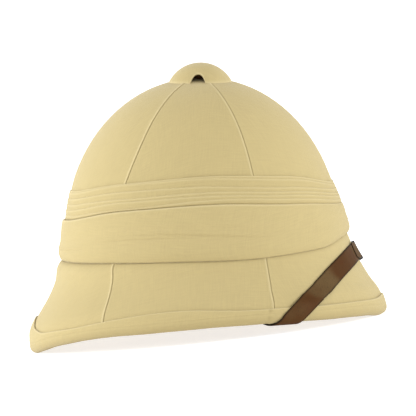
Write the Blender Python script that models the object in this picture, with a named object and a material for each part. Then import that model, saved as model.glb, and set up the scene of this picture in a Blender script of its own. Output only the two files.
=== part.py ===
# A pith helmet: a pith shell in a cloth cover of six gores, a bound rim, a pleated puggaree,
# a vented cap on the crown and a leather chin strap worn over the front of the brim.
# Metres, +Z up. The hat rests on its rim, its front faces -Y and its right side -X.
import math

import bmesh
import bpy
from mathutils import Matrix, Vector

# Pith shell, measured on its outside
crown_length = 0.2525
crown_width = 0.214
crown_height = 0.150
crown_forward = 0.0075
crown_lean = math.radians(5.8)
crown_roundness = 2.06
waist_height = 0.082
waist_dip = 0.0065
waist_fall = 0.003
brim_length = 0.326
brim_width = 0.268
rim_rise = 0.014
shell_wall = 0.005

# Cloth
cover_cloth = 0.001
binding_cloth = 0.001
puggaree_cloth = 0.0008
pleat_step = 0.0006
puggaree_fullness = 0.0031
puggaree_swell = 0.0018

# Vented cap and its post
cap_radius = 0.029
cap_height = 0.0178
cap_wall = 0.002
notch_width = 0.0155
notch_height = 0.0105
post_radius = 0.005
post_depth = 0.008
washer_radius = 0.009
washer_thickness = 0.0015

# Chin strap
strap_width = 0.017
strap_leather = 0.0015
strap_front_height = 0.058
strap_foot_forward = 0.0735
strap_inside_length = 0.062
strap_tail = 0.012
strap_tail_slant = math.radians(12)
strap_shear_reach = 0.035
strap_overlap = 0.040
strap_rise_start = -0.004
strap_rise_reach = 0.016
strap_settle_start = 0.028
strap_settle_reach = 0.024
keeper_width = 0.007
keeper_leather = 0.001
keeper_distance = 0.025
rivet_end_distance = 0.009
rivet_radius = 0.0015
rivet_head_radius = 0.004
rivet_head_thickness = 0.0012
rivet_grip = 0.003

# Clearances
layer_gap = 0.0003
facet_gap = 0.0005
rim_gap = 0.0007
inside_gap = 0.0010
seam_gap = 0.0003

# Divisions of the mesh
gores = 6
columns_per_gore = 6
columns = gores * columns_per_gore
edge_steps = 5
cap_sides = 28
cap_steps = 6
notch_steps = 8
small_sides = 10
walk_step = 0.0005
strap_cells = 4
strap_long_cell = 0.014
strap_short_cell = 0.0026
halvings = 24


def table(names, *rows):
    return [dict(zip(names.split(), row)) for row in rows]


# How far the brim has spread, as shares of its whole flare, on its way down from the waist
brim_flare = table(
    "drop front back side",
    (0.00, 0.000, 0.000, 0.000),
    (0.13, 0.095, 0.205, 0.130),
    (0.30, 0.240, 0.370, 0.310),
    (0.46, 0.420, 0.540, 0.490),
    (0.62, 0.615, 0.745, 0.690),
    (0.76, 0.830, 0.910, 0.870),
    (0.88, 0.940, 0.985, 0.965),
    (1.00, 1.000, 1.000, 1.000),
)

# Height of the rim as shares of rim_rise, by degrees round from the front
rim_arch = table(
    "turn rise",
    (0, 0.00),
    (9, 0.00),
    (22, 0.20),
    (45, 0.48),
    (65, 0.76),
    (90, 0.98),
    (116, 1.00),
    (142, 0.62),
    (156, 0.24),
    (168, 0.00),
    (180, 0.00),
)

# Degrees round from the front of the two seams on each side, on their way down
seam_lines = table(
    "place fore aft",
    (0.00, 66.0, 114.0),
    (0.50, 62.5, 118.0),
    (1.00, 61.3, 127.5),
    (1.25, 61.3, 123.5),
    (1.60, 62.2, 120.3),
    (2.00, 64.0, 120.5),
)

# Height shares of the crown at the puggaree's broad fold and upper edge, and the place of its hem,
# by degrees round from the front
puggaree_edges = table(
    "turn fold top",
    (0, 0.200, 0.370),
    (45, 0.270, 0.450),
    (80, 0.309, 0.472),
    (120, 0.276, 0.424),
    (160, 0.208, 0.350),
    (180, 0.200, 0.340),
)
puggaree_hem = table(
    "turn place",
    (0, 1.040),
    (15, 1.072),
    (35, 1.138),
    (60, 1.128),
    (108, 1.032),
    (150, 1.072),
    (180, 1.072),
)

# Upper edges of the pleats, as shares of the way up from the broad fold
pleat_edges = (1.00, 0.82, 0.62, 0.43, 0.22)
pleat_sink = 0.02
pleat_tuck = 0.10
pleat_growth = 0.8

# Places down the outside (0 at the cap, 1 at the waist, 2 at the rim), then round the rim's edge
# and back up the inside
binding_top = 1.82
edge_span = 0.2
inside_start = 2 + edge_span
inside_top = 2 * 2 + edge_span
cover_end = inside_start + 0.12
binding_end = inside_start + 0.18
band_crest_place = 0.92
strap_climb_start = binding_top - 0.16
strap_sink_start = binding_end + 0.06
strap_sink_span = 0.25
strap_place_limit = 2.1
rim_probe_place = 1.99
crown_places = (0.0, 0.12, 0.27, 0.42, 0.57, 0.72, 0.86, 1.0)
brim_places = (1.14, 1.30, 1.46, 1.64, binding_top, 2.0)
inside_places = (binding_end, 2.7, 3.1, 3.4, 3.7, 3.95)
lean_share = 0.45
oval_fade = 3.0
notch_inner_share = 0.5
notch_outer_share = 1.2

cloth_colour = (0.66, 0.54, 0.30)
pith_colour = (0.70, 0.58, 0.40)
leather_colour = (0.15, 0.075, 0.035)
brass_colour = (0.60, 0.45, 0.20)

# Lifts of the layers above the pith
cover_low = layer_gap
cover_high = cover_low + cover_cloth
binding_low = cover_high + layer_gap
binding_high = binding_low + binding_cloth
puggaree_low = cover_high + facet_gap
rim_radius = shell_wall / 2 + binding_high
rim_floor = rim_radius * math.cos(math.pi / (2 * edge_steps))
strap_bed = cover_high + facet_gap
strap_binding_bed = binding_high + rim_gap
strap_inside_bed = binding_high + inside_gap
post_hole = post_radius + layer_gap
washer_seat_radius = washer_radius + facet_gap
top_turn = math.asin((post_hole / (crown_length / 2)) ** (crown_roundness / 2))
apex_height = waist_height + crown_height


# The shape of the shell

def eased(rows, key, name, place):
    # A smooth curve through one column of a table, level at both ends and never overshooting
    stops = [row[key] for row in rows]
    values = [row[name] for row in rows]
    place = min(max(place, stops[0]), stops[-1])
    last = len(stops) - 1
    first = max(i for i in range(last) if stops[i] <= place)
    rises = [(values[i + 1] - values[i]) / (stops[i + 1] - stops[i]) for i in range(last)]

    def slope(i):
        if i in (0, last) or rises[i - 1] * rises[i] <= 0:
            return 0.0
        return 2 * rises[i - 1] * rises[i] / (rises[i - 1] + rises[i])

    span = stops[first + 1] - stops[first]
    x = (place - stops[first]) / span
    start = values[first] + x * x * (3 - 2 * x) * (values[first + 1] - values[first])
    return start + span * x * (1 - x) * ((1 - x) * slope(first) - x * slope(first + 1))


def folded_degrees(turn):
    # The angle round from the front, the same on both sides
    return abs((math.degrees(turn) + 180) % 360 - 180)


def waist_level(turn):
    return waist_height - waist_fall * (1 + math.cos(turn)) / 2 - waist_dip * math.sin(turn) ** 2


def rim_level(turn):
    return rim_floor + rim_rise * eased(rim_arch, "turn", "rise", folded_degrees(turn))


def lean_at(share):
    x = min(share / lean_share, 1)
    return crown_lean * x * x * (3 - 2 * x)


def lean_shift(share):
    x = min(share / lean_share, 1)
    bent = lean_share * (x ** 3 - x ** 4 / 2) + max(share - lean_share, 0)
    return crown_height * math.tan(crown_lean) * bent


def crown_point(turn, place):
    # The crown is a rounded oval that grows round at the top and leans forward above the waist
    tilt = top_turn + (math.pi / 2 - top_turn) * place
    spread = math.sin(tilt) ** (2 / crown_roundness)
    share = max(math.cos(tilt), 0) ** (2 / crown_roundness)
    lean = lean_at(share)
    reach = crown_length / 2 * spread
    oval = 1 - (1 - crown_width / crown_length) * (1 - share ** oval_fade)
    forward = crown_forward + lean_shift(share) + reach * math.cos(turn) * math.cos(lean)
    height = waist_level(turn) * (1 - share) + apex_height * share
    height -= reach * math.cos(turn) * math.sin(lean)
    return Vector((reach * oval * math.sin(turn), -forward, height))


def brim_point(turn, drop):
    flare = {name: eased(brim_flare, "drop", name, drop) for name in ("front", "back", "side")}
    front_waist = crown_length / 2 + crown_forward
    back_waist = crown_length / 2 - crown_forward
    front = front_waist + (brim_length / 2 - front_waist) * flare["front"]
    back = back_waist + (brim_length / 2 - back_waist) * flare["back"]
    side = (crown_width + (brim_width - crown_width) * flare["side"]) / 2
    forward = (front - back) / 2 + (front + back) / 2 * math.cos(turn)
    height = waist_level(turn) + (rim_level(turn) - waist_level(turn)) * drop
    return Vector((side * math.sin(turn), -forward, height))


def outside(turn, place):
    if place <= 1:
        return crown_point(turn, place)
    return brim_point(turn, place - 1)


def facing(turn, place):
    # The outward direction of the shell's outside
    step = 0.001
    round_way = outside(turn + step, place) - outside(turn - step, place)
    down_way = outside(turn, min(place + step, 2)) - outside(turn, max(place - step, 0))
    return down_way.cross(round_way).normalized()


def lifted(turn, place, lift):
    # A point at a lift above the pith: outside, round the rim's edge or inside
    if place <= 2:
        return outside(turn, place) + facing(turn, place) * lift
    if place >= inside_start:
        behind = inside_top - place
        return outside(turn, behind) - facing(turn, behind) * (shell_wall + lift)
    out = facing(turn, 2)
    roll = math.pi * (place - 2) / edge_span
    arm = out * math.cos(roll) - Vector((0, 0, math.sin(roll)))
    return outside(turn, 2) - out * shell_wall / 2 + arm * (shell_wall / 2 + lift)


def outer_place(place):
    # The place on the outside that a place round the rim or inside lies behind
    return min(place, 2) if place < inside_start else inside_top - place


def column_turn(column, place):
    # The angle of a column of the mesh, which bends with the seams
    degrees = 360 * column / columns
    side = 1 if degrees <= 180 else -1
    degrees = degrees if degrees <= 180 else 360 - degrees
    fore = eased(seam_lines, "place", "fore", outer_place(place))
    aft = eased(seam_lines, "place", "aft", outer_place(place))
    stops = (0, fore, aft, 180)
    gore = min(int(degrees // 60), 2)
    share = degrees / 60 - gore
    return side * math.radians(stops[gore] + (stops[gore + 1] - stops[gore]) * share)


def crown_place(share):
    # The place down the crown that lies at a share of its height
    tilt = math.acos(share ** (crown_roundness / 2))
    return (tilt - top_turn) / (math.pi / 2 - top_turn)


def radius_place(radius):
    # The place down the crown that lies at a radius from its axis
    tilt = math.asin((radius / (crown_length / 2)) ** (crown_roundness / 2))
    return (tilt - top_turn) / (math.pi / 2 - top_turn)


def fold_place(edge, turn):
    # The place of a puggaree edge: 0 is the broad fold, 1 the upper edge
    low, high = (eased(puggaree_edges, "turn", name, folded_degrees(turn)) for name in ("fold", "top"))
    return crown_place(low + edge * (high - low))


def hem_place(turn):
    return eased(puggaree_hem, "turn", "place", folded_degrees(turn))


# Building

def clear_scene():
    for item in list(bpy.data.objects):
        bpy.data.objects.remove(item, do_unlink=True)


def make_material(name, colour, roughness, metallic=0.0):
    material = bpy.data.materials.new(name)
    material.use_nodes = True
    shader = material.node_tree.nodes["Principled BSDF"]
    shader.inputs["Base Color"].default_value = (*colour, 1)
    shader.inputs["Roughness"].default_value = roughness
    shader.inputs["Metallic"].default_value = metallic
    material.diffuse_color = (*colour, 1)
    return material


def add_object(name, mesh_data, material, smooth=True):
    # Turns a bmesh into a named object whose faces look outward
    bmesh.ops.recalc_face_normals(mesh_data, faces=mesh_data.faces)
    for face in mesh_data.faces:
        face.smooth = smooth
    mesh = bpy.data.meshes.new(name)
    mesh_data.to_mesh(mesh)
    mesh_data.free()
    mesh.materials.append(material)
    item = bpy.data.objects.new(name, mesh)
    bpy.context.scene.collection.objects.link(item)
    return item


def layer_line(mesh_data, column, rows, inset):
    # The low and high vertices of one column of a layer
    low, high = [], []
    for place, low_lift, high_lift in rows:
        at = place(column_turn(column, 1)) if callable(place) else place
        turn = column_turn(column, at)
        if inset:
            step = 0.001
            behind = outer_place(at)
            speed = (outside(turn + step, behind) - outside(turn, behind)).length / step
            turn += inset * seam_gap / 2 / speed
        low.append(mesh_data.verts.new(lifted(turn, at, low_lift)))
        high.append(mesh_data.verts.new(lifted(turn, at, high_lift)))
    return low + high[::-1]


def add_layer(name, material, rows, first=0, last=columns):
    # A layer between two lifts, whole round the hat or from one column to another
    mesh_data = bmesh.new()
    whole = last - first == columns
    lines = []
    for column in range(first, last + (0 if whole else 1)):
        inset = 0 if whole else (column == first) - (column == last)
        lines.append(layer_line(mesh_data, column, rows, inset))
    count = len(lines[0])
    pairs = list(zip(lines, lines[1:] + lines[:1])) if whole else list(zip(lines, lines[1:]))
    for left, right in pairs:
        for i in range(count):
            j = (i + 1) % count
            mesh_data.faces.new((left[i], left[j], right[j], right[i]))
    for line in () if whole else (lines[0], lines[-1]):
        for i in range(len(rows) - 1):
            mesh_data.faces.new((line[i], line[i + 1], line[count - 2 - i], line[count - 1 - i]))
    return add_object(name, mesh_data, material)


def add_lathe(name, material, outline, sides):
    # A solid turned about Z from an outline of (radius, height) that starts and ends on the axis
    mesh_data = bmesh.new()
    rings = []
    for radius, height in outline:
        turns = [math.tau * i / sides for i in range(sides if radius > 0 else 1)]
        rings.append([mesh_data.verts.new((radius * math.sin(a), -radius * math.cos(a), height))
                      for a in turns])
    for upper, lower in zip(rings, rings[1:]):
        for i in range(sides):
            j = (i + 1) % sides
            corners = [upper[i % len(upper)], lower[i % len(lower)],
                       lower[j % len(lower)], upper[j % len(upper)]]
            mesh_data.faces.new(list(dict.fromkeys(corners)))
    return add_object(name, mesh_data, material)


def cut_with(item, cutter):
    cutter.hide_render = True
    cutter.display_type = "WIRE"
    cut = item.modifiers.new("cut", "BOOLEAN")
    cut.operation = "DIFFERENCE"
    cut.solver = "EXACT"
    cut.object = cutter


# The hat

def edge_places():
    return tuple(2 + edge_span * (i + 1) / edge_steps for i in range(edge_steps))


def add_shell(material):
    places = crown_places + brim_places + edge_places()[:-1]
    places += (inside_start, cover_end) + inside_places
    places += (inside_top - radius_place(washer_seat_radius), inside_top)
    mesh_data = bmesh.new()
    lines = [[mesh_data.verts.new(lifted(column_turn(column, place), place, 0)) for place in places]
             for column in range(columns)]
    for left, right in zip(lines, lines[1:] + lines[:1]):
        for i in range(len(places)):
            j = (i + 1) % len(places)
            mesh_data.faces.new((left[i], left[j], right[j], right[i]))
    return add_object("shell", mesh_data, material)


def add_cover(material):
    places = crown_places + brim_places + edge_places() + (cover_end,)
    rows = [(place, cover_low, cover_high) for place in places]
    for gore in range(gores):
        first = gore * columns_per_gore
        add_layer(f"cover_panel_{gore + 1}", material, rows, first, first + columns_per_gore)


def add_binding(material):
    places = (binding_top, 2.0) + edge_places() + (cover_end, binding_end)
    rows = [(place, binding_low, binding_high) for place in places]
    add_layer("brim_binding", material, rows)


def add_puggaree(material):
    # Each pleat stands out over the one above it, and the lowest is tucked behind the broad fold
    def fold(edge):
        return lambda turn: fold_place(edge, turn)

    skin = puggaree_low + puggaree_cloth
    growth = pleat_growth * puggaree_fullness / len(pleat_edges)
    rows = []
    for i, edge in enumerate(pleat_edges):
        below = (pleat_edges + (0,))[i + 1] + pleat_sink
        rows.append((fold(edge), puggaree_low, skin + growth * i + (pleat_step if i else 0)))
        rows.append((fold(below), puggaree_low, skin + growth * (i + 0.5)))
    rows.append((fold(pleat_sink / 2), puggaree_low, skin))
    rows.append((fold(-pleat_tuck), puggaree_low, skin))
    add_layer("puggaree_pleats", material, rows)

    crest = skin + puggaree_fullness
    add_layer("puggaree_band", material, [
        (fold(0), skin + layer_gap, crest),
        (fold(-pleat_tuck), skin + layer_gap, crest + pleat_step),
        (fold(-pleat_tuck - pleat_sink * 2), puggaree_low, crest + pleat_step),
        (band_crest_place, puggaree_low, crest + pleat_step / 2),
        (1.0, puggaree_low, crest + puggaree_swell),
        (hem_place, puggaree_low, crest),
    ])


def crown_drop(radius):
    # How far the crown has fallen from its apex at a radius
    spread = (radius / (crown_length / 2)) ** crown_roundness
    return crown_height * (1 - (1 - spread) ** (1 / crown_roundness))


def place_on_crown(item):
    item.location = (0, -(crown_forward + lean_shift(1)), apex_height)
    item.rotation_euler = (crown_lean, 0, 0)


def add_cap(cloth, brass):
    seat = cover_high + layer_gap - crown_drop(cap_radius)
    ball = (cap_radius ** 2 + cap_height ** 2) / (2 * cap_height)
    middle = seat + cap_height - ball
    reach = math.asin(cap_radius / ball)
    inner = ball - cap_wall
    inner_reach = math.acos((seat - middle) / inner)
    boss_radius = post_radius + layer_gap + cap_wall
    boss_reach = math.asin(boss_radius / inner)
    boss_bottom = cover_high + layer_gap
    socket_top = boss_bottom + post_depth
    outline = [(ball * math.sin(reach * i / cap_steps), middle + ball * math.cos(reach * i / cap_steps))
               for i in range(cap_steps + 1)]
    outline[0] = (0, middle + ball)
    for i in range(cap_steps + 1):
        angle = inner_reach + (boss_reach - inner_reach) * i / cap_steps
        outline.append((inner * math.sin(angle), middle + inner * math.cos(angle)))
    outline += [(boss_radius, boss_bottom), (post_radius + layer_gap, boss_bottom),
                (post_radius + layer_gap, socket_top), (0, socket_top)]
    cap = add_lathe("vent_cap", cloth, outline, cap_sides)
    place_on_crown(cap)

    notch = add_notch_cutter(seat, cloth)
    cut_with(cap, notch)

    washer_top = -shell_wall - crown_drop(washer_seat_radius) - layer_gap
    post = add_lathe("vent_post", brass, [
        (0, socket_top - layer_gap),
        (post_radius, socket_top - layer_gap),
        (post_radius, washer_top),
        (washer_radius, washer_top),
        (washer_radius, washer_top - washer_thickness),
        (0, washer_top - washer_thickness),
    ], 2 * small_sides)
    place_on_crown(post)


def add_notch_cutter(seat, material):
    # Two arched bars that cut an air notch in the cap's left and right edge
    mesh_data = bmesh.new()
    half = notch_width / 2
    outline = [(-half, seat - cap_wall)]
    for i in range(notch_steps + 1):
        angle = math.pi * i / notch_steps
        outline.append((-half * math.cos(angle), seat + notch_height - half + half * math.sin(angle)))
    outline.append((half, seat - cap_wall))
    for side in (-1, 1):
        rings = [[mesh_data.verts.new((side * x, y, z)) for y, z in outline]
                 for x in (cap_radius * notch_inner_share, cap_radius * notch_outer_share)]
        for i in range(len(outline)):
            j = (i + 1) % len(outline)
            mesh_data.faces.new((rings[0][i], rings[0][j], rings[1][j], rings[1][i]))
        mesh_data.faces.new(rings[0])
        mesh_data.faces.new(rings[1])
    cutter = add_object("notch_cutter", mesh_data, material, smooth=False)
    place_on_crown(cutter)
    return cutter


# The chin strap, led over the layers like a taut band

def bed_lift(place):
    # The lift of the strap's underside above the pith
    x = min(max((place - strap_climb_start) / (binding_top - strap_climb_start), 0), 1)
    lift = strap_bed + (strap_binding_bed - strap_bed) * x
    x = min(max((place - 2) / edge_span, 0), 1)
    lift += (strap_inside_bed - strap_binding_bed) * x
    x = min(max((place - strap_sink_start) / strap_sink_span, 0), 1)
    return lift + (inside_gap - strap_inside_bed) * x * x * (3 - 2 * x)


def bed_point(turn, place, lift=0.0):
    return lifted(turn, place, bed_lift(place) + lift)


def bed_axes(turn, place):
    # How the bed runs round the hat and down or up it, for a unit of turn and of place
    probe = 0.0001
    here = bed_point(turn, place)
    round_way = (bed_point(turn + probe, place) - here) / probe
    return round_way, (bed_point(turn, place + probe) - here) / probe


def strap_place(turn):
    # The place where a slanting plane, low at the back and high at the front, cuts the brim
    front_place = 1 + (waist_level(0) - strap_front_height) / (waist_level(0) - rim_floor)
    front = bed_point(0, front_place)
    slope = front.z / (-front.y - strap_foot_forward)
    above, below = 1.0, strap_place_limit
    for _ in range(halvings):
        middle = (above + below) / 2
        spot = bed_point(turn, middle)
        if spot.z > slope * (-spot.y - strap_foot_forward):
            above = middle
        else:
            below = middle
    return above


def strap_route(side, limit=1.0):
    # The middle line from the front centre, as (distance, turn, place, heading) at every step:
    # along the slanting plane to the rim, then on round the edge and up the inside at one angle
    probe = 0.001
    turn, place, distance = 0.0, strap_place(0), 0.0
    route = []
    while place < 2 and distance < limit:
        ahead = bed_point(turn + side * probe, strap_place(turn + side * probe))
        stretch = ahead - bed_point(turn, place)
        route.append((distance, turn, place, stretch.normalized()))
        turn += side * probe * walk_step / stretch.length
        place = strap_place(turn)
        distance += walk_step
    angle = route[-1][3].angle(bed_axes(turn, rim_probe_place)[0] * side)
    end = distance + math.pi * (rim_radius + facet_gap) / math.sin(angle) + strap_inside_length
    while distance < min(end, limit):
        round_way, climb = bed_axes(turn, place)
        heading = round_way.normalized() * side * math.cos(angle) + climb.normalized() * math.sin(angle)
        route.append((distance, turn, place, heading))
        turn += side * walk_step * math.cos(angle) / round_way.length
        place += walk_step * math.sin(angle) / climb.length
        distance += walk_step
    return route


def tail_route(side):
    # The upper thickness's tail, which rises a little where it lies over the lower one
    turn, place, distance = 0.0, strap_place(0), 0.0
    route = []
    while distance < strap_tail:
        round_way, climb = bed_axes(turn, place)
        rise = strap_tail_slant * min(1, distance / strap_tail * 2)
        heading = round_way.normalized() * side * math.cos(rise) - climb.normalized() * math.sin(rise)
        route.append((distance, turn, place, heading))
        turn += side * walk_step * math.cos(rise) / round_way.length
        place -= walk_step * math.sin(rise) / climb.length
        distance += walk_step
    return route


def across(station, offsets):
    # The (turn, place) beside a station, at offsets to its sides. Near the rim the row slants
    # until it lies along the rim, so that the strap folds cleanly round the edge
    distance, turn, place, heading = station
    round_way, climb = bed_axes(turn, place)
    side_way = climb.cross(round_way).cross(heading).normalized()
    edge_distance = max(2 - place, place - inside_start, 0) * climb.length
    x = min(edge_distance / strap_shear_reach, 1)
    if x < 1:
        rim_way = round_way.normalized()
        slant = rim_way.dot(heading) / rim_way.dot(side_way)
        side_way += heading * slant * (1 - x * x * (3 - 2 * x))
    a, b, c = round_way.dot(round_way), round_way.dot(climb), climb.dot(climb)
    p, q = round_way.dot(side_way), climb.dot(side_way)
    to_turn = (c * p - b * q) / (a * c - b * b)
    to_place = (a * q - b * p) / (a * c - b * b)
    return [(turn + x * to_turn, place + x * to_place) for x in offsets]


def spaced_stations(route):
    # Stations along the strap, close together where it turns round the rim
    edge = [i for i, station in enumerate(route) if 2 <= station[2] <= inside_start]
    if edge:
        stops = (0, edge[0], edge[-1], len(route) - 1)
        cells = (strap_long_cell, strap_short_cell, strap_long_cell)
    else:
        stops = (0, len(route) - 1)
        cells = (strap_long_cell,)
    picks = [0]
    for start, end, cell in zip(stops, stops[1:], cells):
        count = max(1, round((end - start) * walk_step / cell))
        picks += [start + round((end - start) * (i + 1) / count) for i in range(count)]
    return [route[i] for i in picks]


def stack_lift(far, upper):
    # The strap's lift above its bed, by the distance to the left of the front centre
    x = min(max((far - strap_rise_start) / strap_rise_reach, 0), 1)
    lift = (keeper_leather + layer_gap) * x * x * (3 - 2 * x)
    if not upper:
        return lift
    x = min(max((strap_overlap + strap_settle_start - far) / strap_settle_reach, 0), 1)
    return (lift + strap_leather + layer_gap) * x * x * (3 - 2 * x)


def add_strap(name, material, side, end):
    # One half of the strap: its end past the front centre, then down its own side to its anchor inside
    main = strap_route(side)
    stations = [(-distance, turn, place, -heading)
                for distance, turn, place, heading in reversed(spaced_stations(end)[1:])]
    stations += spaced_stations(main)
    offsets = [strap_width * (i / strap_cells - 0.5) for i in range(strap_cells + 1)]
    mesh_data = bmesh.new()
    rings = []
    for station in stations:
        lift = stack_lift(station[0] * side, side > 0)
        spots = across(station, offsets)
        low = [mesh_data.verts.new(bed_point(*spot, lift)) for spot in spots]
        high = [mesh_data.verts.new(bed_point(*spot, lift + strap_leather)) for spot in spots]
        rings.append(low + high[::-1])
    count = len(rings[0])
    for left, right in zip(rings, rings[1:]):
        for i in range(count):
            j = (i + 1) % count
            mesh_data.faces.new((left[i], left[j], right[j], right[i]))
    for ring in (rings[0], rings[-1]):
        for i in range(strap_cells):
            mesh_data.faces.new((ring[i], ring[i + 1], ring[count - 2 - i], ring[count - 1 - i]))
    return add_object(name, mesh_data, material), main


def add_keeper(material, route):
    # A loop round both thicknesses of the strap
    inner = strap_width / 2 + layer_gap
    outer = inner + keeper_leather
    top = 2 * (keeper_leather + strap_leather + layer_gap) - keeper_leather + layer_gap
    mesh_data = bmesh.new()
    loops = []
    for end in (-0.5, 0.5):
        station = route[round((keeper_distance + end * keeper_width) / walk_step)]
        for reach, low, high in ((outer, 0, top + keeper_leather), (inner, keeper_leather, top)):
            spots = across(station, [reach * x for x in (-1, -0.5, 0.0, 0.5, 1)])
            loops.append([mesh_data.verts.new(bed_point(*spot, low)) for spot in spots]
                         + [mesh_data.verts.new(bed_point(*spot, high)) for spot in spots[::-1]])
    near_outer, near_inner, far_outer, far_inner = loops
    walls = (
        (near_outer, far_outer),
        (near_inner, far_inner),
        (near_outer, near_inner),
        (far_outer, far_inner),
    )
    for first, second in walls:
        for i in range(len(first)):
            j = (i + 1) % len(first)
            mesh_data.faces.new((first[i], first[j], second[j], second[i]))
    return add_object("strap_keeper", mesh_data, material)


def add_rivet(name, material, route, strap, shell):
    # A rivet through the strap's end into the pith
    distance, turn, place, heading = route[-1 - round(rivet_end_distance / walk_step)]
    foot = lifted(turn, place, 0)
    out = (lifted(turn, place, 0.001) - foot).normalized()
    stand = Matrix.Translation(foot) @ out.to_track_quat("Z", "Y").to_matrix().to_4x4()
    head = bed_lift(place) + strap_leather + layer_gap
    rivet = add_lathe(name, material, [
        (0, head + rivet_head_thickness),
        (rivet_head_radius, head + rivet_head_thickness / 2),
        (rivet_head_radius, head),
        (rivet_radius, head),
        (rivet_radius, -rivet_grip),
        (0, -rivet_grip),
    ], small_sides)
    hole = rivet_radius + layer_gap
    drill = add_lathe(f"{name}_drill", material, [
        (0, head + rivet_head_radius),
        (hole, head + rivet_head_radius),
        (hole, -rivet_grip - layer_gap),
        (0, -rivet_grip - layer_gap),
    ], small_sides)
    for item in (rivet, drill):
        item.matrix_world = stand
    cut_with(strap, drill)
    cut_with(shell, drill)


def add_chin_strap(material, brass, shell):
    ends = (("right", -1, strap_route(1, strap_overlap)), ("left", 1, tail_route(-1)))
    for name, side, end in ends:
        strap, route = add_strap(f"chin_strap_{name}", material, side, end)
        add_rivet(f"strap_rivet_{name}", brass, route, strap, shell)
    add_keeper(material, route)


clear_scene()
cloth = make_material("khaki_cloth", cloth_colour, 0.85)
pith = make_material("pith", pith_colour, 0.9)
leather = make_material("brown_leather", leather_colour, 0.45)
brass = make_material("brass", brass_colour, 0.35, 1.0)
shell = add_shell(pith)
add_cover(cloth)
add_binding(cloth)
add_puggaree(cloth)
add_cap(cloth, brass)
add_chin_strap(leather, brass, shell)
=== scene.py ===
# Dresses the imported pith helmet: a cloth cover of six gores on a pith shell, a bound rim, a pleated
# puggaree, a vented cap and a leather chin strap. Metres, front towards -Y, right side towards -X.
import math

import bmesh
import bpy
import numpy as np
from mathutils import Matrix, Vector


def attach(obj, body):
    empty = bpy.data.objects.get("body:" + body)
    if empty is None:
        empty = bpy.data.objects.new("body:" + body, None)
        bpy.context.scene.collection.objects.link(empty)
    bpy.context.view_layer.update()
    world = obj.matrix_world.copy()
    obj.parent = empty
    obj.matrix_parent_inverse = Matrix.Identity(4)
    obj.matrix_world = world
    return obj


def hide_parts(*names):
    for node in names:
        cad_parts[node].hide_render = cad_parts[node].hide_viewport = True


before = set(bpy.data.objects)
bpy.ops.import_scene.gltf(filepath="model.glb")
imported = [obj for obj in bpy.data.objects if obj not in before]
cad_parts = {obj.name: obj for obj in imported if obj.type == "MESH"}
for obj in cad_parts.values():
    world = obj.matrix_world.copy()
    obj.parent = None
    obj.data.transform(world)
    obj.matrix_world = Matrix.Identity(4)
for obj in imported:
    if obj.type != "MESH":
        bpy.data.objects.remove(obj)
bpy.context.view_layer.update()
print("frame loaded")


# The shape that every layer of the hat follows

hat = {
    "crownLength": 0.2525,
    "crownWidth": 0.214,
    "crownHeight": 0.1493,
    "crownForward": 0.0075,
    "crownLean": math.radians(5.8),
    "crownRoundness": 2.06,
    "waistHeight": 0.082,
    "waistDip": 0.0065,
    "waistFall": 0.003,
    "brimLength": 0.326,
    "brimWidth": 0.268,
    "rimRise": 0.014,
    "wall": 0.005,
    "rimFloor": 0.004851,
    "leanShare": 0.45,
    "ovalFade": 3.0,
    "topRadius": 0.0053,
    "edgeSpan": 0.2,  # place from 2 to 2.2 goes round the rim's edge, then back up the inside
}
# A spot on the hat is a turn, in radians round from the front centre, and a place down its surface:
# 0 near the crown's top, 1 at the waist and 2 at the rim

# How far the brim has spread, as a share, by the share of its drop
brimFlare = {
    "drop": (0, 0.13, 0.30, 0.46, 0.62, 0.76, 0.88, 1),
    "front": (0, 0.095, 0.24, 0.42, 0.615, 0.83, 0.94, 1),
    "back": (0, 0.205, 0.37, 0.54, 0.745, 0.91, 0.985, 1),
    "side": (0, 0.13, 0.31, 0.49, 0.69, 0.87, 0.965, 1),
}
# The rim's rise above its lowest level, as a share, by degrees round from the front
rimArch = {
    "turn": (0, 9, 22, 45, 65, 90, 116, 142, 156, 168, 180),
    "rise": (0, 0, 0.20, 0.48, 0.76, 0.98, 1, 0.62, 0.24, 0, 0),
}
# The seams, in degrees round from the front, by place
seamLines = {
    "place": (0, 0.5, 1, 1.15, 1.3, 1.45, 1.6, 1.8, 2),
    "fore": (66, 62.5, 61.3, 61.3, 61.4, 61.8, 62.2, 63.0, 64),
    "aft": (114, 118, 125.9, 123.9, 122.9, 122.1, 121.2, 120.5, 120.3),
}

# The puggaree's broad fold and upper edge as shares of the crown's height, then the places of its hem
# and of the binding's upper edge, by degrees round from the front
puggareeEdges = {
    "turn": (0, 45, 80, 120, 160, 180),
    "fold": (0.200, 0.270, 0.309, 0.276, 0.208, 0.200),
    "top": (0.370, 0.450, 0.472, 0.424, 0.350, 0.340),
}
puggareeHem = {
    "turn": (0, 15, 35, 60, 108, 150, 180),
    "place": (1.040, 1.072, 1.138, 1.128, 1.032, 1.072, 1.072),
}
bindingEdge = {
    "turn": (0, 25, 70, 97, 135, 150, 162, 172, 180),
    "place": (1.84, 1.88, 1.863, 1.78, 1.875, 1.862, 1.790, 1.70, 1.67),
}

insideStart = 2 + hat["edgeSpan"]
insideTop = 4 + hat["edgeSpan"]
lifts = {"coverLow": 0.0003, "coverHigh": 0.0013, "bindingLow": 0.0016, "bindingHigh": 0.0026,
         "puggareeLow": 0.0018, "puggareeSkin": 0.0026}
topTurn = math.asin((hat["topRadius"] / (hat["crownLength"] / 2)) ** (hat["crownRoundness"] / 2))


def smoothStep(x):
    x = np.clip(x, 0, 1)
    return x * x * (3 - 2 * x)


def ridge(x, width):
    # a smooth swell, 1 in its middle
    return np.exp(-(x / width) ** 2)


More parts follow.
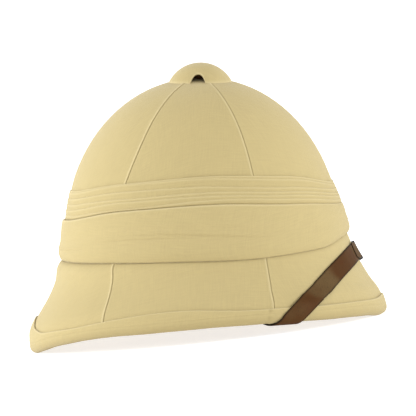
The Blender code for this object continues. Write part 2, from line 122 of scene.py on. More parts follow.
def easedTable(table, key, name, at):
    # a smooth curve through a column, level at both ends and never overshooting
    stops, values = np.array(table[key], float), np.array(table[name], float)
    at = np.clip(at, stops[0], stops[-1])
    rises = np.diff(values) / np.diff(stops)
    slopes = np.zeros(len(stops))
    for i in range(1, len(stops) - 1):
        if rises[i - 1] * rises[i] > 0:
            slopes[i] = 2 * rises[i - 1] * rises[i] / (rises[i - 1] + rises[i])
    first = np.clip(np.searchsorted(stops, at, side="right") - 1, 0, len(stops) - 2)
    span = stops[first + 1] - stops[first]
    x = (at - stops[first]) / span
    start = values[first] + x * x * (3 - 2 * x) * (values[first + 1] - values[first])
    return start + span * x * (1 - x) * ((1 - x) * slopes[first] - x * slopes[first + 1])


def foldedDegrees(turn):
    return np.abs((np.degrees(turn) + 180) % 360 - 180)


def waistLevel(turn):
    fall = hat["waistFall"] * (1 + np.cos(turn)) / 2
    return hat["waistHeight"] - fall - hat["waistDip"] * np.sin(turn) ** 2


def rimLevel(turn):
    return hat["rimFloor"] + hat["rimRise"] * easedTable(rimArch, "turn", "rise", foldedDegrees(turn))


def leanShift(share):
    x = np.minimum(share / hat["leanShare"], 1)
    bent = hat["leanShare"] * (x ** 3 - x ** 4 / 2) + np.maximum(share - hat["leanShare"], 0)
    return hat["crownHeight"] * math.tan(hat["crownLean"]) * bent


def crownPoint(turn, place):
    tilt = topTurn + (math.pi / 2 - topTurn) * place
    spread = np.sin(tilt) ** (2 / hat["crownRoundness"])
    share = np.maximum(np.cos(tilt), 0) ** (2 / hat["crownRoundness"])
    lean = hat["crownLean"] * smoothStep(share / hat["leanShare"])
    reach = hat["crownLength"] / 2 * spread
    oval = 1 - (1 - hat["crownWidth"] / hat["crownLength"]) * (1 - share ** hat["ovalFade"])
    forward = hat["crownForward"] + leanShift(share) + reach * np.cos(turn) * np.cos(lean)
    apex = hat["waistHeight"] + hat["crownHeight"]
    height = waistLevel(turn) * (1 - share) + apex * share - reach * np.cos(turn) * np.sin(lean)
    return np.stack((reach * oval * np.sin(turn), -forward, height), -1)


def brimPoint(turn, drop):
    frontWaist = hat["crownLength"] / 2 + hat["crownForward"]
    backWaist = hat["crownLength"] / 2 - hat["crownForward"]
    front = frontWaist + (hat["brimLength"] / 2 - frontWaist) * easedTable(brimFlare, "drop", "front", drop)
    back = backWaist + (hat["brimLength"] / 2 - backWaist) * easedTable(brimFlare, "drop", "back", drop)
    spread = hat["brimWidth"] - hat["crownWidth"]
    side = (hat["crownWidth"] + spread * easedTable(brimFlare, "drop", "side", drop)) / 2
    forward = (front - back) / 2 + (front + back) / 2 * np.cos(turn)
    height = waistLevel(turn) + (rimLevel(turn) - waistLevel(turn)) * drop
    return np.stack((side * np.sin(turn), -forward, height), -1)


def outsidePoint(turn, place):
    turn, place = np.broadcast_arrays(np.asarray(turn, float), np.asarray(place, float))
    upper = crownPoint(turn, np.clip(place, 0, 1))
    lower = brimPoint(turn, np.clip(place - 1, 0, 1))
    return np.where((place <= 1)[..., None], upper, lower)


def facingOut(turn, place):
    step = 0.001
    roundWay = outsidePoint(turn + step, place) - outsidePoint(turn - step, place)
    below, above = np.minimum(place + step, 2), np.maximum(place - step, 0)
    downWay = outsidePoint(turn, below) - outsidePoint(turn, above)
    out = np.cross(downWay, roundWay)
    return out / np.linalg.norm(out, axis=-1, keepdims=True)


def turnSpeed(turn, place):
    # metres round the surface for each radian of turn
    step = 0.001
    return np.linalg.norm(outsidePoint(turn + step, place) - outsidePoint(turn, place), axis=-1) / step


def liftedPoint(turn, place, lift):
    # a point at a lift above the pith: outside, round the rim's edge or up the inside
    turn, place, lift = np.broadcast_arrays(*(np.asarray(x, float) for x in (turn, place, lift)))
    inside = place >= insideStart
    roll = math.pi * (np.clip(place, 2, insideStart) - 2) / hat["edgeSpan"]
    behind = np.where(inside, insideTop - place, np.minimum(place, 2))
    base, out = outsidePoint(turn, behind), facingOut(turn, behind)
    arm = out * np.cos(roll)[..., None] - np.array((0.0, 0.0, 1.0)) * np.sin(roll)[..., None]
    edge = base - out * hat["wall"] / 2 + arm * (hat["wall"] / 2 + lift)[..., None]
    up = base + out * lift[..., None]
    back = base - out * (hat["wall"] + lift)[..., None]
    rolled = ((place > 2) & ~inside)[..., None]
    return np.where(inside[..., None], back, np.where(rolled, edge, up))


def crownPlace(share):
    tilt = np.arccos(share ** (hat["crownRoundness"] / 2))
    return (tilt - topTurn) / (math.pi / 2 - topTurn)


def radiusPlace(radius):
    tilt = math.asin((radius / (hat["crownLength"] / 2)) ** (hat["crownRoundness"] / 2))
    return (tilt - topTurn) / (math.pi / 2 - topTurn)


def foldPlace(edge, turn):
    # the place of a puggaree fold: 0 is the broad fold's edge and 1 the upper edge
    low, high = (easedTable(puggareeEdges, "turn", name, foldedDegrees(turn)) for name in ("fold", "top"))
    return crownPlace(low + edge * (high - low))


def hemAt(turn):
    return easedTable(puggareeHem, "turn", "place", foldedDegrees(turn))


def bindingAt(turn):
    sway = 0.004 * wander(turn, 0, 41, (2, 5, 11))
    return easedTable(bindingEdge, "turn", "place", foldedDegrees(turn)) + sway


def seamTurn(index, place):
    # the turn of seam 0 to 5 at a place, counted from the front centre towards the left
    behind = np.where(place < insideStart, np.minimum(place, 2), insideTop - place)
    fore = easedTable(seamLines, "place", "fore", behind)
    aft = easedTable(seamLines, "place", "aft", behind)
    return np.radians((0 * fore, fore, aft, 180 + 0 * fore, 360 - aft, 360 - fore, 360 + 0 * fore)[index])


def wander(turn, place, seed, waves=(3, 5, 9)):
    # soft unevenness between about -1 and 1, the same at both ends of a full turn
    made = np.random.default_rng(seed)
    total = 0
    for wave in waves:
        a, b, c = made.uniform(0, math.tau, 3)
        slant = made.uniform(-1.2, 1.2) * wave
        swing = made.uniform(0.4, 1) * wave
        total = total + np.sin(wave * turn + slant * place + a) * np.cos(swing * place + b)
        total = total + 0.4 * np.sin(2 * wave * turn + c)
    return total / (1.4 * len(waves))


# Mesh helpers

def aroundSection(inner, outer):
    # along the inner face of a strip's section, then back along the outer one
    return np.concatenate((inner, outer[:, ::-1]), 1)


def gridIndex(points):
    # the number of each point of a grid of (column, point round the section)
    columns, count = points.shape[:2]
    return np.arange(columns * count).reshape(columns, count)


def gridFaces(index, closed):
    here = index if closed else index[:-1]
    there = np.roll(index, -1, 0) if closed else index[1:]
    return np.stack((here, np.roll(here, -1, 1), np.roll(there, -1, 1), there), -1).reshape(-1, 4)


def gridCorners(flat):
    # the (u, v) of each face corner, from the flat map of a grid's points
    a, b = flat[:-1], flat[1:]
    return np.stack((a, np.roll(a, -1, 1), np.roll(b, -1, 1), b), 2).reshape(-1, 2)


def meshObject(name, points, faces, material, cornerMap=None, values=None):
    # cornerMap has a (u, v) for each face corner in metres, values a number for each point
    mesh = bpy.data.meshes.new(name)
    faceList = faces.tolist() if hasattr(faces, "tolist") else faces
    mesh.from_pydata(points.reshape(-1, 3).tolist(), [], faceList)
    mesh.materials.append(material)
    if cornerMap is not None:
        layer = mesh.uv_layers.new(name="clothMap")
        layer.data.foreach_set("uv", cornerMap.astype(np.float32).ravel())
    for key, array in (values or {}).items():
        attribute = mesh.attributes.new(key, "FLOAT", "POINT")
        attribute.data.foreach_set("value", np.asarray(array, np.float32).ravel())
    work = bmesh.new()
    work.from_mesh(mesh)
    bmesh.ops.recalc_face_normals(work, faces=work.faces)
    for face in work.faces:
        face.smooth = True
    work.to_mesh(mesh)
    work.free()
    mesh.validate()
    item = bpy.data.objects.new(name, mesh)
    bpy.context.scene.collection.objects.link(item)
    return item


def flatMap(points, closed):
    # distances along a grid of (column, row): u round from the middle column, v down from the top
    ring = np.concatenate((points, points[:1])) if closed else points
    across = np.linalg.norm(np.diff(ring, axis=0), axis=-1)
    u = np.concatenate((np.zeros((1, points.shape[1])), np.cumsum(across, 0)))
    u -= u[len(u) // 2]
    down = np.linalg.norm(np.diff(ring, axis=1), axis=-1)
    v = np.concatenate((np.zeros((len(ring), 1)), np.cumsum(down, 1)), 1)
    return np.stack((u, v), -1)


def loopedPiece(name, turns, places, heights, material, closed, values=None):
    # turns, places and heights are grids of (column, point round the section)
    return stripPiece(name, liftedPoint(turns, places, heights), material, closed, values)


def stripPiece(name, points, material, closed, values=None):
    index = gridIndex(points)
    flat = flatMap(points, closed)
    corners = gridCorners(flat)
    faceList = gridFaces(index, closed).tolist()
    if not closed:
        for column in (0, len(points) - 1):
            faceList.append(index[column].tolist())
            corners = np.concatenate((corners, flat[column]))
    return meshObject(name, points, faceList, material, corners, values)


def lathedPiece(name, outline, sides, material, stand=Matrix()):
    # turned about Z from (radius, height) points, from axis to axis, then stood in its place
    points, faces, rings = [], [], []
    for radius, height in outline:
        count = sides if radius > 1e-6 else 1
        rings.append(list(range(len(points), len(points) + count)))
        for i in range(count):
            angle = math.tau * i / sides
            points.append(stand @ Vector((radius * math.sin(angle), -radius * math.cos(angle), height)))
    for upper, lower in zip(rings, rings[1:]):
        for i in range(sides):
            j = (i + 1) % sides
            spots = ((upper, i), (lower, i), (lower, j), (upper, j))
            corners = [ring[k % len(ring)] for ring, k in spots]  # a ring on the axis is one point
            faces.append(list(dict.fromkeys(corners)))
    return meshObject(name, np.array([tuple(p) for p in points]), faces, material)


def settle(piece, slotName, *nodes):
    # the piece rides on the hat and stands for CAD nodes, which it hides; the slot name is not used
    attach(piece, "root")
    if nodes:
        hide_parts(*nodes)
    return piece


# Materials

def newMaterial(name, colour):
    material = bpy.data.materials.new(name)
    material.use_nodes = True
    material.diffuse_color = (*colour, 1)
    tree = material.node_tree
    return material, tree, tree.nodes["Principled BSDF"]


def addNode(tree, kind, **settings):
    node = tree.nodes.new(kind)
    for key, value in settings.items():
        if key in node.inputs:
            node.inputs[key].default_value = value
        else:
            setattr(node, key, value)
    return node


def feed(tree, socket, value):
    # from another node's output, or a fixed value
    if hasattr(value, "links"):
        tree.links.new(value, socket)
    else:
        socket.default_value = value


def math2(tree, operation, first, second):
    node = tree.nodes.new("ShaderNodeMath")
    node.operation = operation
    feed(tree, node.inputs[0], first)
    feed(tree, node.inputs[1], second)
    return node.outputs[0]


def rangeOf(tree, value, low, high, newLow, newHigh):
    node = tree.nodes.new("ShaderNodeMapRange")
    tree.links.new(value, node.inputs["Value"])
    for key, number in (("From Min", low), ("From Max", high), ("To Min", newLow), ("To Max", newHigh)):
        node.inputs[key].default_value = number
    return node.outputs["Result"]


def mixColour(tree, amount, first, second):
    # a colour is another node's output or (red, green, blue); inputs 6 and 7 are the node's colours
    node = tree.nodes.new("ShaderNodeMix")
    node.data_type = "RGBA"
    tree.links.new(amount, node.inputs["Factor"])
    for socket, value in ((node.inputs[6], first), (node.inputs[7], second)):
        feed(tree, socket, value if hasattr(value, "links") else (*value, 1))
    return node.outputs[2]


def bumpOf(tree, height, strength, distance, normal=None):
    node = addNode(tree, "ShaderNodeBump", Strength=strength, Distance=distance)
    tree.links.new(height, node.inputs["Height"])
    if normal is not None:
        tree.links.new(normal, node.inputs["Normal"])
    return node.outputs["Normal"]


cottonLook = {
    "colour": (0.432, 0.343, 0.156),
    # painted shade colour, for creases, hollows and under edges
    "shadeColour": (0.205, 0.150, 0.058),
    # painted highlight colour, for raised edges and lips
    "highlightColour": (0.545, 0.452, 0.240),
    "threadPitch": 0.00052,
    "slubPitch": 0.011,
    "mottleSize": 0.045,
    "roughness": 0.88,
}


def khakiCotton(name, look):
    # plain weave from the piece's own map, with slubs, soft mottling, painted shade in creases, hollows and
    # under edges, and painted highlights along raised edges
    material, tree, shader = newMaterial(name, look["colour"])
    link = tree.links.new
    uv = addNode(tree, "ShaderNodeUVMap", uv_map="clothMap")
    split = tree.nodes.new("ShaderNodeSeparateXYZ")
    link(uv.outputs["UV"], split.inputs[0])
    warp = math2(tree, "SINE", math2(tree, "MULTIPLY", split.outputs["X"], math.tau / look["threadPitch"]), 0)
    weft = math2(tree, "SINE", math2(tree, "MULTIPLY", split.outputs["Y"], math.tau / look["threadPitch"]), 0)
    weave = math2(tree, "MULTIPLY", warp, weft)

    slubs = []
    for stretch in ((0.07, 1, 1), (1, 0.07, 1)):
        mapping = addNode(tree, "ShaderNodeMapping", Scale=tuple(s / look["slubPitch"] * 9 for s in stretch))
        link(uv.outputs["UV"], mapping.inputs["Vector"])
        noise = addNode(tree, "ShaderNodeTexNoise", Scale=1.0, Detail=3.0, Roughness=0.55)
        link(mapping.outputs[0], noise.inputs["Vector"])
        slubs.append(noise.outputs["Fac"])
    slub = math2(tree, "ADD", slubs[0], slubs[1])

    place = tree.nodes.new("ShaderNodeTexCoord")
    mottle = addNode(tree, "ShaderNodeTexNoise", Scale=1 / look["mottleSize"], Detail=3.0, Roughness=0.5)
    link(place.outputs["Object"], mottle.inputs["Vector"])
    # painted shade and painted highlight come in as two attributes set on each piece
    paintedShade = addNode(tree, "ShaderNodeAttribute", attribute_name="paintedShade")
    paintedHighlight = addNode(tree, "ShaderNodeAttribute", attribute_name="paintedHighlight")

    light = tuple(c * 1.05 for c in look["colour"])
    dark = tuple(c * 0.95 for c in look["colour"])
    colour = mixColour(tree, rangeOf(tree, slub, 0.75, 1.25, 0, 1), dark, light)
    colour = mixColour(tree, rangeOf(tree, mottle.outputs["Fac"], 0.35, 0.65, 0, 0.35),
                       colour, look["colour"])
    # the gaps between the weave's threads get a little painted shade
    colour = mixColour(tree, rangeOf(tree, weave, -1, 1, 0.10, 0), colour, look["shadeColour"])
    # painted highlight, then painted shade, laid over the cloth's colour
    colour = mixColour(tree, paintedHighlight.outputs["Fac"], colour, look["highlightColour"])
    colour = mixColour(tree, paintedShade.outputs["Fac"], colour, look["shadeColour"])
    link(colour, shader.inputs["Base Color"])
    link(rangeOf(tree, slub, 0.7, 1.3, look["roughness"] - 0.06, look["roughness"] + 0.06),
         shader.inputs["Roughness"])
    fine = bumpOf(tree, weave, 0.35, 0.00012)
    link(bumpOf(tree, slub, 0.30, 0.00025, fine), shader.inputs["Normal"])
    shader.inputs["Sheen Weight"].default_value = 0.12
    shader.inputs["Sheen Roughness"].default_value = 0.45
    shader.inputs["Specular IOR Level"].default_value = 0.25
    return material


leatherLook = {
    "colour": (0.066, 0.030, 0.009),
    "redColour": (0.064, 0.022, 0.005),
    "greyColour": (0.108, 0.068, 0.027),
    "edgeColour": (0.014, 0.009, 0.005),
    "grainSize": 0.0007,
    "mottleSize": 0.016,
    "roughness": 0.56,
}


def brownLeather(name, look):
    material, tree, shader = newMaterial(name, look["colour"])
    link = tree.links.new
    place = tree.nodes.new("ShaderNodeTexCoord")
    mottle = addNode(tree, "ShaderNodeTexNoise", Scale=1 / look["mottleSize"], Detail=4.0, Roughness=0.6)
    patch = addNode(tree, "ShaderNodeTexNoise", noise_dimensions="4D",
                    Scale=0.5 / look["mottleSize"], Detail=2.0)
    patch.inputs["W"].default_value = 3.0
    grain = addNode(tree, "ShaderNodeTexVoronoi", Scale=1 / look["grainSize"])
    pores = addNode(tree, "ShaderNodeTexNoise", Scale=0.6 / look["grainSize"], Detail=4.0)
    for node in (mottle, patch, grain, pores):
        link(place.outputs["Object"], node.inputs["Vector"])
    rim = addNode(tree, "ShaderNodeAttribute", attribute_name="rim")
    tone = addNode(tree, "ShaderNodeAttribute", attribute_name="tone")
    colour = mixColour(tree, rangeOf(tree, mottle.outputs["Fac"], 0.35, 0.65, 0, 1),
                       look["redColour"], look["colour"])
    patches = rangeOf(tree, patch.outputs["Fac"], 0.35, 0.65, -0.25, 0.25)
    dull = math2(tree, "ADD", tone.outputs["Fac"], patches)
    dull = rangeOf(tree, dull, 0, 1, 0, 1)  # keeps it between 0 and 1
    colour = mixColour(tree, dull, colour, look["greyColour"])
    colour = mixColour(tree, rangeOf(tree, pores.outputs["Fac"], 0.30, 0.46, 0.35, 0),
                       colour, look["edgeColour"])
    colour = mixColour(tree, rim.outputs["Fac"], colour, look["edgeColour"])
    link(colour, shader.inputs["Base Color"])
    link(rangeOf(tree, mottle.outputs["Fac"], 0.3, 0.7, look["roughness"] - 0.07, look["roughness"] + 0.1),
         shader.inputs["Roughness"])
    fine = bumpOf(tree, grain.outputs["Distance"], 0.25, 0.00012)
    link(bumpOf(tree, pores.outputs["Fac"], 0.25, 0.0003, fine), shader.inputs["Normal"])
    shader.inputs["Specular IOR Level"].default_value = 0.04
    return material


pithLook = {"colour": (0.62, 0.50, 0.33), "poreColour": (0.30, 0.21, 0.12), "grainSize": 0.0022,
            "sheetSize": 0.035, "roughness": 0.92}


def barePith(name, look):
    # pale spongy pith: pores, long fibres and the faint edges of its pressed sheets
    material, tree, shader = newMaterial(name, look["colour"])
    link = tree.links.new
    place = tree.nodes.new("ShaderNodeTexCoord")
    pores = addNode(tree, "ShaderNodeTexVoronoi", Scale=1 / look["grainSize"])
    blotch = addNode(tree, "ShaderNodeTexNoise", Scale=1 / look["sheetSize"], Detail=5.0, Roughness=0.6)
    stretched = addNode(tree, "ShaderNodeMapping", Scale=(1.0, 1.0, 0.12))
    fibre = addNode(tree, "ShaderNodeTexNoise", Scale=0.5 / look["grainSize"], Detail=4.0)
    for node in (pores, blotch, stretched):
        link(place.outputs["Object"], node.inputs["Vector"])
    link(stretched.outputs[0], fibre.inputs["Vector"])
    light = tuple(c * 1.12 for c in look["colour"])
    colour = mixColour(tree, rangeOf(tree, blotch.outputs["Fac"], 0.35, 0.65, 0, 1), look["colour"], light)
    for output, low, high, most in ((fibre.outputs["Fac"], 0.35, 0.55, 0.35),
                                    (pores.outputs["Distance"], 0.0, 0.28, 0.5)):
        colour = mixColour(tree, rangeOf(tree, output, low, high, most, 0), colour, look["poreColour"])
    link(colour, shader.inputs["Base Color"])
    shader.inputs["Roughness"].default_value = look["roughness"]
    fine = bumpOf(tree, pores.outputs["Distance"], 0.35, 0.0004)
    link(bumpOf(tree, fibre.outputs["Fac"], 0.3, 0.0005, fine), shader.inputs["Normal"])
    return material


metalLook = {"colour": (0.62, 0.45, 0.17), "dullColour": (0.28, 0.19, 0.08), "roughness": 0.34}


def agedBrass(name, look):
    material, tree, shader = newMaterial(name, look["colour"])
    link = tree.links.new
    place = tree.nodes.new("ShaderNodeTexCoord")
    patina = addNode(tree, "ShaderNodeTexNoise", Scale=420.0, Detail=4.0)
    scratch = addNode(tree, "ShaderNodeTexNoise", Scale=2400.0, Detail=2.0)
    link(place.outputs["Object"], patina.inputs["Vector"])
    link(place.outputs["Object"], scratch.inputs["Vector"])
    dulled = rangeOf(tree, patina.outputs["Fac"], 0.4, 0.62, 0, 0.8)
    link(mixColour(tree, dulled, look["colour"], look["dullColour"]), shader.inputs["Base Color"])
    link(rangeOf(tree, patina.outputs["Fac"], 0.35, 0.65, look["roughness"] - 0.06, look["roughness"] + 0.16),
         shader.inputs["Roughness"])
    link(bumpOf(tree, scratch.outputs["Fac"], 0.15, 0.0001), shader.inputs["Normal"])
    shader.inputs["Metallic"].default_value = 1.0
    return material


cotton = khakiCotton("khakiCotton", cottonLook)
thread = khakiCotton("khakiThread", {**cottonLook, "colour": (0.49, 0.40, 0.21), "threadPitch": 0.00035})
leather = brownLeather("brownLeather", leatherLook)
pith = barePith("barePith", pithLook)
brass = agedBrass("agedBrass", metalLook)
liningLook = {**leatherLook, "colour": (0.13, 0.065, 0.022), "redColour": (0.17, 0.075, 0.024),
              "greyColour": (0.14, 0.080, 0.034), "roughness": 0.6}
capLining = brownLeather("capLining", liningLook)
print("materials ready")


# Pith shell

shellShape = {"columns": 180, "rows": 64}


def makeShell(shape):
    down = np.concatenate((np.linspace(0, 2, shape["rows"]), np.linspace(2, insideStart, 9)[1:],
                           np.linspace(insideStart, insideTop, shape["rows"])[1:]))
    turns = np.linspace(0, math.tau, shape["columns"], endpoint=False)
    turnGrid = np.repeat(turns[:, None], len(down), 1)
    placeGrid = np.repeat(down[None], len(turns), 0)
    inner = placeGrid > insideStart
    uneven = np.where(inner, -0.00035 * wander(turnGrid, placeGrid, 5, (7, 13, 21)), 0)
    return settle(loopedPiece("pithShell", turnGrid, placeGrid, uneven, pith, True), "pith", "shell")


makeShell(shellShape)
print("shell made")


# Cloth cover of six gores

coverShape = {
    "middleColumns": 22,
    "crownRows": 62,
    "brimRows": 40,
    "edgeSteps": (0.0, 0.12, 0.3, 0.55, 0.85, 1.2, 1.7, 2.4, 3.3, 4.5, 6.5),  # millimetres from the seam
    "seamGap": 0.00014,
    "seamFold": 0.0005,  # the rounding of the turned-in edge
    "seamDepth": 0.0004,
    "weltHeight": 0.00042,
    "bridge": 0.0046,  # the cloth stands off the shell where the brim starts to flare
    "weltWidth": 0.0024,
    "farWelt": 0.15,  # the seam's other side swells less
    "narrow": 0.012,  # a gore less wide than twice this has its seam columns squeezed
    "unevenness": 0.00022,
    "pucker": 0.00010,
    "coverEnd": insideStart + 0.12,
}


def seamProfile(distance, shape, weltSide):
    # how much the cloth drops into the seam and swells beside it
    fall = (1 - np.sqrt(np.clip(1 - (1 - np.clip(distance / shape["seamFold"], 0, 1)) ** 2, 0, 1)))
    height, width = shape["weltHeight"], shape["weltWidth"]
    welt = height * weltSide * ridge(distance - width * 0.45, width * 0.5)
    flat = 0.5 * height * ridge(distance, width * 2.2)
    return -shape["seamDepth"] * fall + welt + flat


def clothBridge(turn, place):
    # the puggaree's pull leaves the cover clear of the waist's hollow, most at the back
    reach = coverShape["bridge"] * (0.25 + 0.75 * smoothStep((0.3 - np.cos(turn)) / 1.3))
    below = place - hemAt(turn)
    fall = np.where(below > 0, below / 0.13, below / 0.06)
    return reach * np.exp(-fall ** 2)


def makeGore(index, shape):
    rows = np.concatenate((np.linspace(0, 1, shape["crownRows"]), np.linspace(1, 2, shape["brimRows"])[1:],
                           np.linspace(2, insideStart, 8)[1:], (insideStart + 0.06, shape["coverEnd"])))
    before, after = seamTurn(index, rows), seamTurn(index + 1, rows)
    behind = np.where(rows < insideStart, np.minimum(rows, 2), insideTop - rows)
    speeds = [turnSpeed(t, behind) for t in (before, after)]
    width = (after - before) * (speeds[0] + speeds[1]) / 2
    squeeze = np.minimum(1, width / 2 / shape["narrow"])
    steps = np.array(shape["edgeSteps"]) / 1000 + shape["seamGap"] / 2
    nearTurns = before + steps[:, None] * squeeze / speeds[0]
    farTurns = after - steps[::-1, None] * squeeze / speeds[1]
    share = np.linspace(0, 1, shape["middleColumns"] + 2)[1:-1, None]
    middle = nearTurns[-1] * (1 - share) + farTurns[0] * share
    turns = np.concatenate((nearTurns, middle, farTurns))
    places = np.repeat(rows[None], len(turns), 0)
    fromBefore = (turns - before) * speeds[0]
    fromAfter = (after - turns) * speeds[1]
    distance = np.minimum(fromBefore, fromAfter) - shape["seamGap"] / 2
    sides = (1.0, shape["farWelt"]) if index < 3 else (shape["farWelt"], 1.0)
    weltSide = np.where(fromBefore < fromAfter, *sides)
    rise = seamProfile(distance, shape, weltSide)
    rise = rise + shape["unevenness"] * wander(turns, places, 11 + index) * smoothStep(distance / 0.02)
    ripple = np.sin(places * 150 + 3 * wander(turns, places, 30 + index))
    pucker = shape["pucker"] * ripple * np.exp(-distance / 0.004)
    rise = rise + pucker * (places < 2)
    bridge = clothBridge(turns, places)
    high = lifts["coverHigh"] + rise + bridge
    low = np.minimum(lifts["coverLow"] + bridge, high - 0.0002)
    # painted shade: a thin dark line in the seam's groove, and painted shadow under the puggaree's hem, at
    # its upper edge, round the cap's foot and just above the binding
    paintedShade = 0.30 * ridge(distance, 0.00050)
    underHem = ridge(places - hemAt(turns) - 0.005, 0.012)
    overPuggaree = ridge(places - foldPlace(1.0, turns), 0.004)
    underCap = ridge(places - radiusPlace(0.0292), 0.006)
    overBinding = ridge(places - bindingAt(turns) + 0.004, 0.007)
    paintedShade = np.maximum.reduce((paintedShade, 0.22 * underHem, 0.12 * overPuggaree, 0.30 * underCap,
                                0.12 * overBinding))
    # painted highlight along the swollen welt beside each seam
    paintedHighlight = 0.60 * ridge(distance - 0.0013, 0.0008) * weltSide
    piece = loopedPiece(f"coverGore{index + 1}", aroundSection(turns, turns),
                        aroundSection(places, places), aroundSection(low, high),
                        cotton, False, {"paintedShade": aroundSection(paintedShade, paintedShade),
                                        "paintedHighlight": aroundSection(paintedHighlight, paintedHighlight)})
    return settle(piece, "khaki_cloth", f"cover_panel_{index + 1}")


gores = [makeGore(i, coverShape) for i in range(6)]
print("cover made")


# Binding round the rim

bindingShape = {
    "columns": 400,
    "top": 1.82,
    "end": insideStart + 0.18,
    "lip": 0.00035,
    "foldPlace": 1.925,
    "foldHeight": 0.00030,
    "joinTurn": math.radians(-65),
    "unevenness": 0.00022,
}


def makeBinding(shape):
    turns = np.linspace(0, math.tau, shape["columns"], endpoint=False) + shape["joinTurn"]
    near = np.array((0, 0.0015, 0.004, 0.007, 0.011, 0.016, 0.022))
    rows = np.concatenate((shape["top"] + near, np.linspace(shape["top"] + 0.03, 2, 26),
                           np.linspace(2, insideStart, 14)[1:],
                           np.linspace(insideStart, shape["end"] - 0.02, 7)[1:],
                           shape["end"] - near[::-1]))
    turnGrid = np.repeat(turns[:, None], len(rows), 1)
    upper = bindingAt(turnGrid)
    outside = 2 - (2 - rows[None]) * (2 - upper) / (2 - shape["top"])
    placeGrid = np.where(rows[None] < 2, outside, rows[None])
    fromTop = placeGrid - upper
    fromEnd = shape["end"] - rows[None] + 0 * placeGrid
    lip = np.clip(np.minimum(fromTop, fromEnd) / 0.007, 0, 1)
    rounding = 1 - np.sqrt(1 - (1 - lip) ** 2)
    sway = 0.006 * wander(turnGrid, 0, 44, (2, 3, 7))
    fold = shape["foldHeight"] * ridge(placeGrid - shape["foldPlace"] - sway, 0.010)
    puff = 0.0004 * np.sin(math.pi * np.clip((placeGrid - upper) / (shape["foldPlace"] - upper), 0, 1))
    high = lifts["bindingHigh"] - 0.0006 * rounding + shape["lip"] * ridge(fromTop - 0.012, 0.010)
    uneven = shape["unevenness"] * wander(turnGrid, placeGrid * 3, 47, (5, 11, 23)) * lip
    high = high + fold + puff * (placeGrid < shape["foldPlace"]) + uneven
    # the join, a slanting step across the band
    slant = np.degrees(turnGrid - shape["joinTurn"])
    fromJoin = (slant + (placeGrid - 1.9) * 9 + 180) % 360 - 180
    groove = ridge(fromJoin, 0.28)
    lap = 0.0004 * smoothStep((fromJoin + 0.3) / 0.5) * ridge(np.maximum(fromJoin, 0), 2.0)
    high = high - 0.0006 * groove + lap
    low = np.minimum(lifts["bindingLow"], high - 0.0003)
    # painted shade along both edges of the binding, in the join's groove and below its fold, then darker from
    # its rounded lower part round the rim's edge
    paintedShade = np.maximum.reduce((0.18 * ridge(fromTop, 0.003), 0.40 * groove, 0.35 * ridge(fromEnd, 0.003),
                                0.10 * ridge(placeGrid - shape["foldPlace"] - 0.020, 0.009)))
    paintedShade = np.maximum(paintedShade, 0.20 * smoothStep((placeGrid - 1.94) / 0.08) + 0 * high)
    # painted highlight just below the binding's upper edge
    paintedHighlight = 0.45 * ridge(fromTop - 0.010, 0.008)
    piece = loopedPiece("rimBinding", aroundSection(turnGrid, turnGrid),
                        aroundSection(placeGrid, placeGrid), aroundSection(low, high),
                        cotton, True, {"paintedShade": aroundSection(paintedShade, paintedShade),
                                       "paintedHighlight": aroundSection(paintedHighlight, paintedHighlight)})
    return settle(piece, "khaki_cloth", "brim_binding")


binding = makeBinding(bindingShape)
print("binding made")


# Puggaree: narrow pleats above a broad folded band

puggareeShape = {
    "columns": 330,
    "height": 0.027,  # metres of cloth from the broad fold to the upper edge
    "stepWidth": 0.0011,
    "crevice": 0.00012,
    "creviceWidth": 0.0008,
    "tuck": 0.10,
    "bandRows": 66,
    "fullness": 0.0031,
    "swell": 0.0018,
    "straightFrom": 0.26,
    "bow": 0.0020,
}

# The pleats' edges as shares of the way up from the broad fold, by degrees round from the front
pleatLines = {
    "turn": (0, 35, 60, 90, 120, 150, 180),
    "second": (0.88, 0.90, 0.90, 0.94, 0.955, 0.93, 0.90),
    "third": (0.70, 0.64, 0.62, 0.66, 0.70, 0.72, 0.71),
    "fourth": (0.50, 0.47, 0.45, 0.44, 0.42, 0.50, 0.52),
    "fifth": (0.36, 0.35, 0.33, 0.32, 0.335, 0.33, 0.34),
    "sixth": (0.17, 0.19, 0.20, 0.14, 0.07, 0.12, 0.17),
}
pleatSteps = {"second": 0.00035, "third": 0.00060, "fourth": 0.00050, "fifth": 0.00060, "sixth": 0.00045}


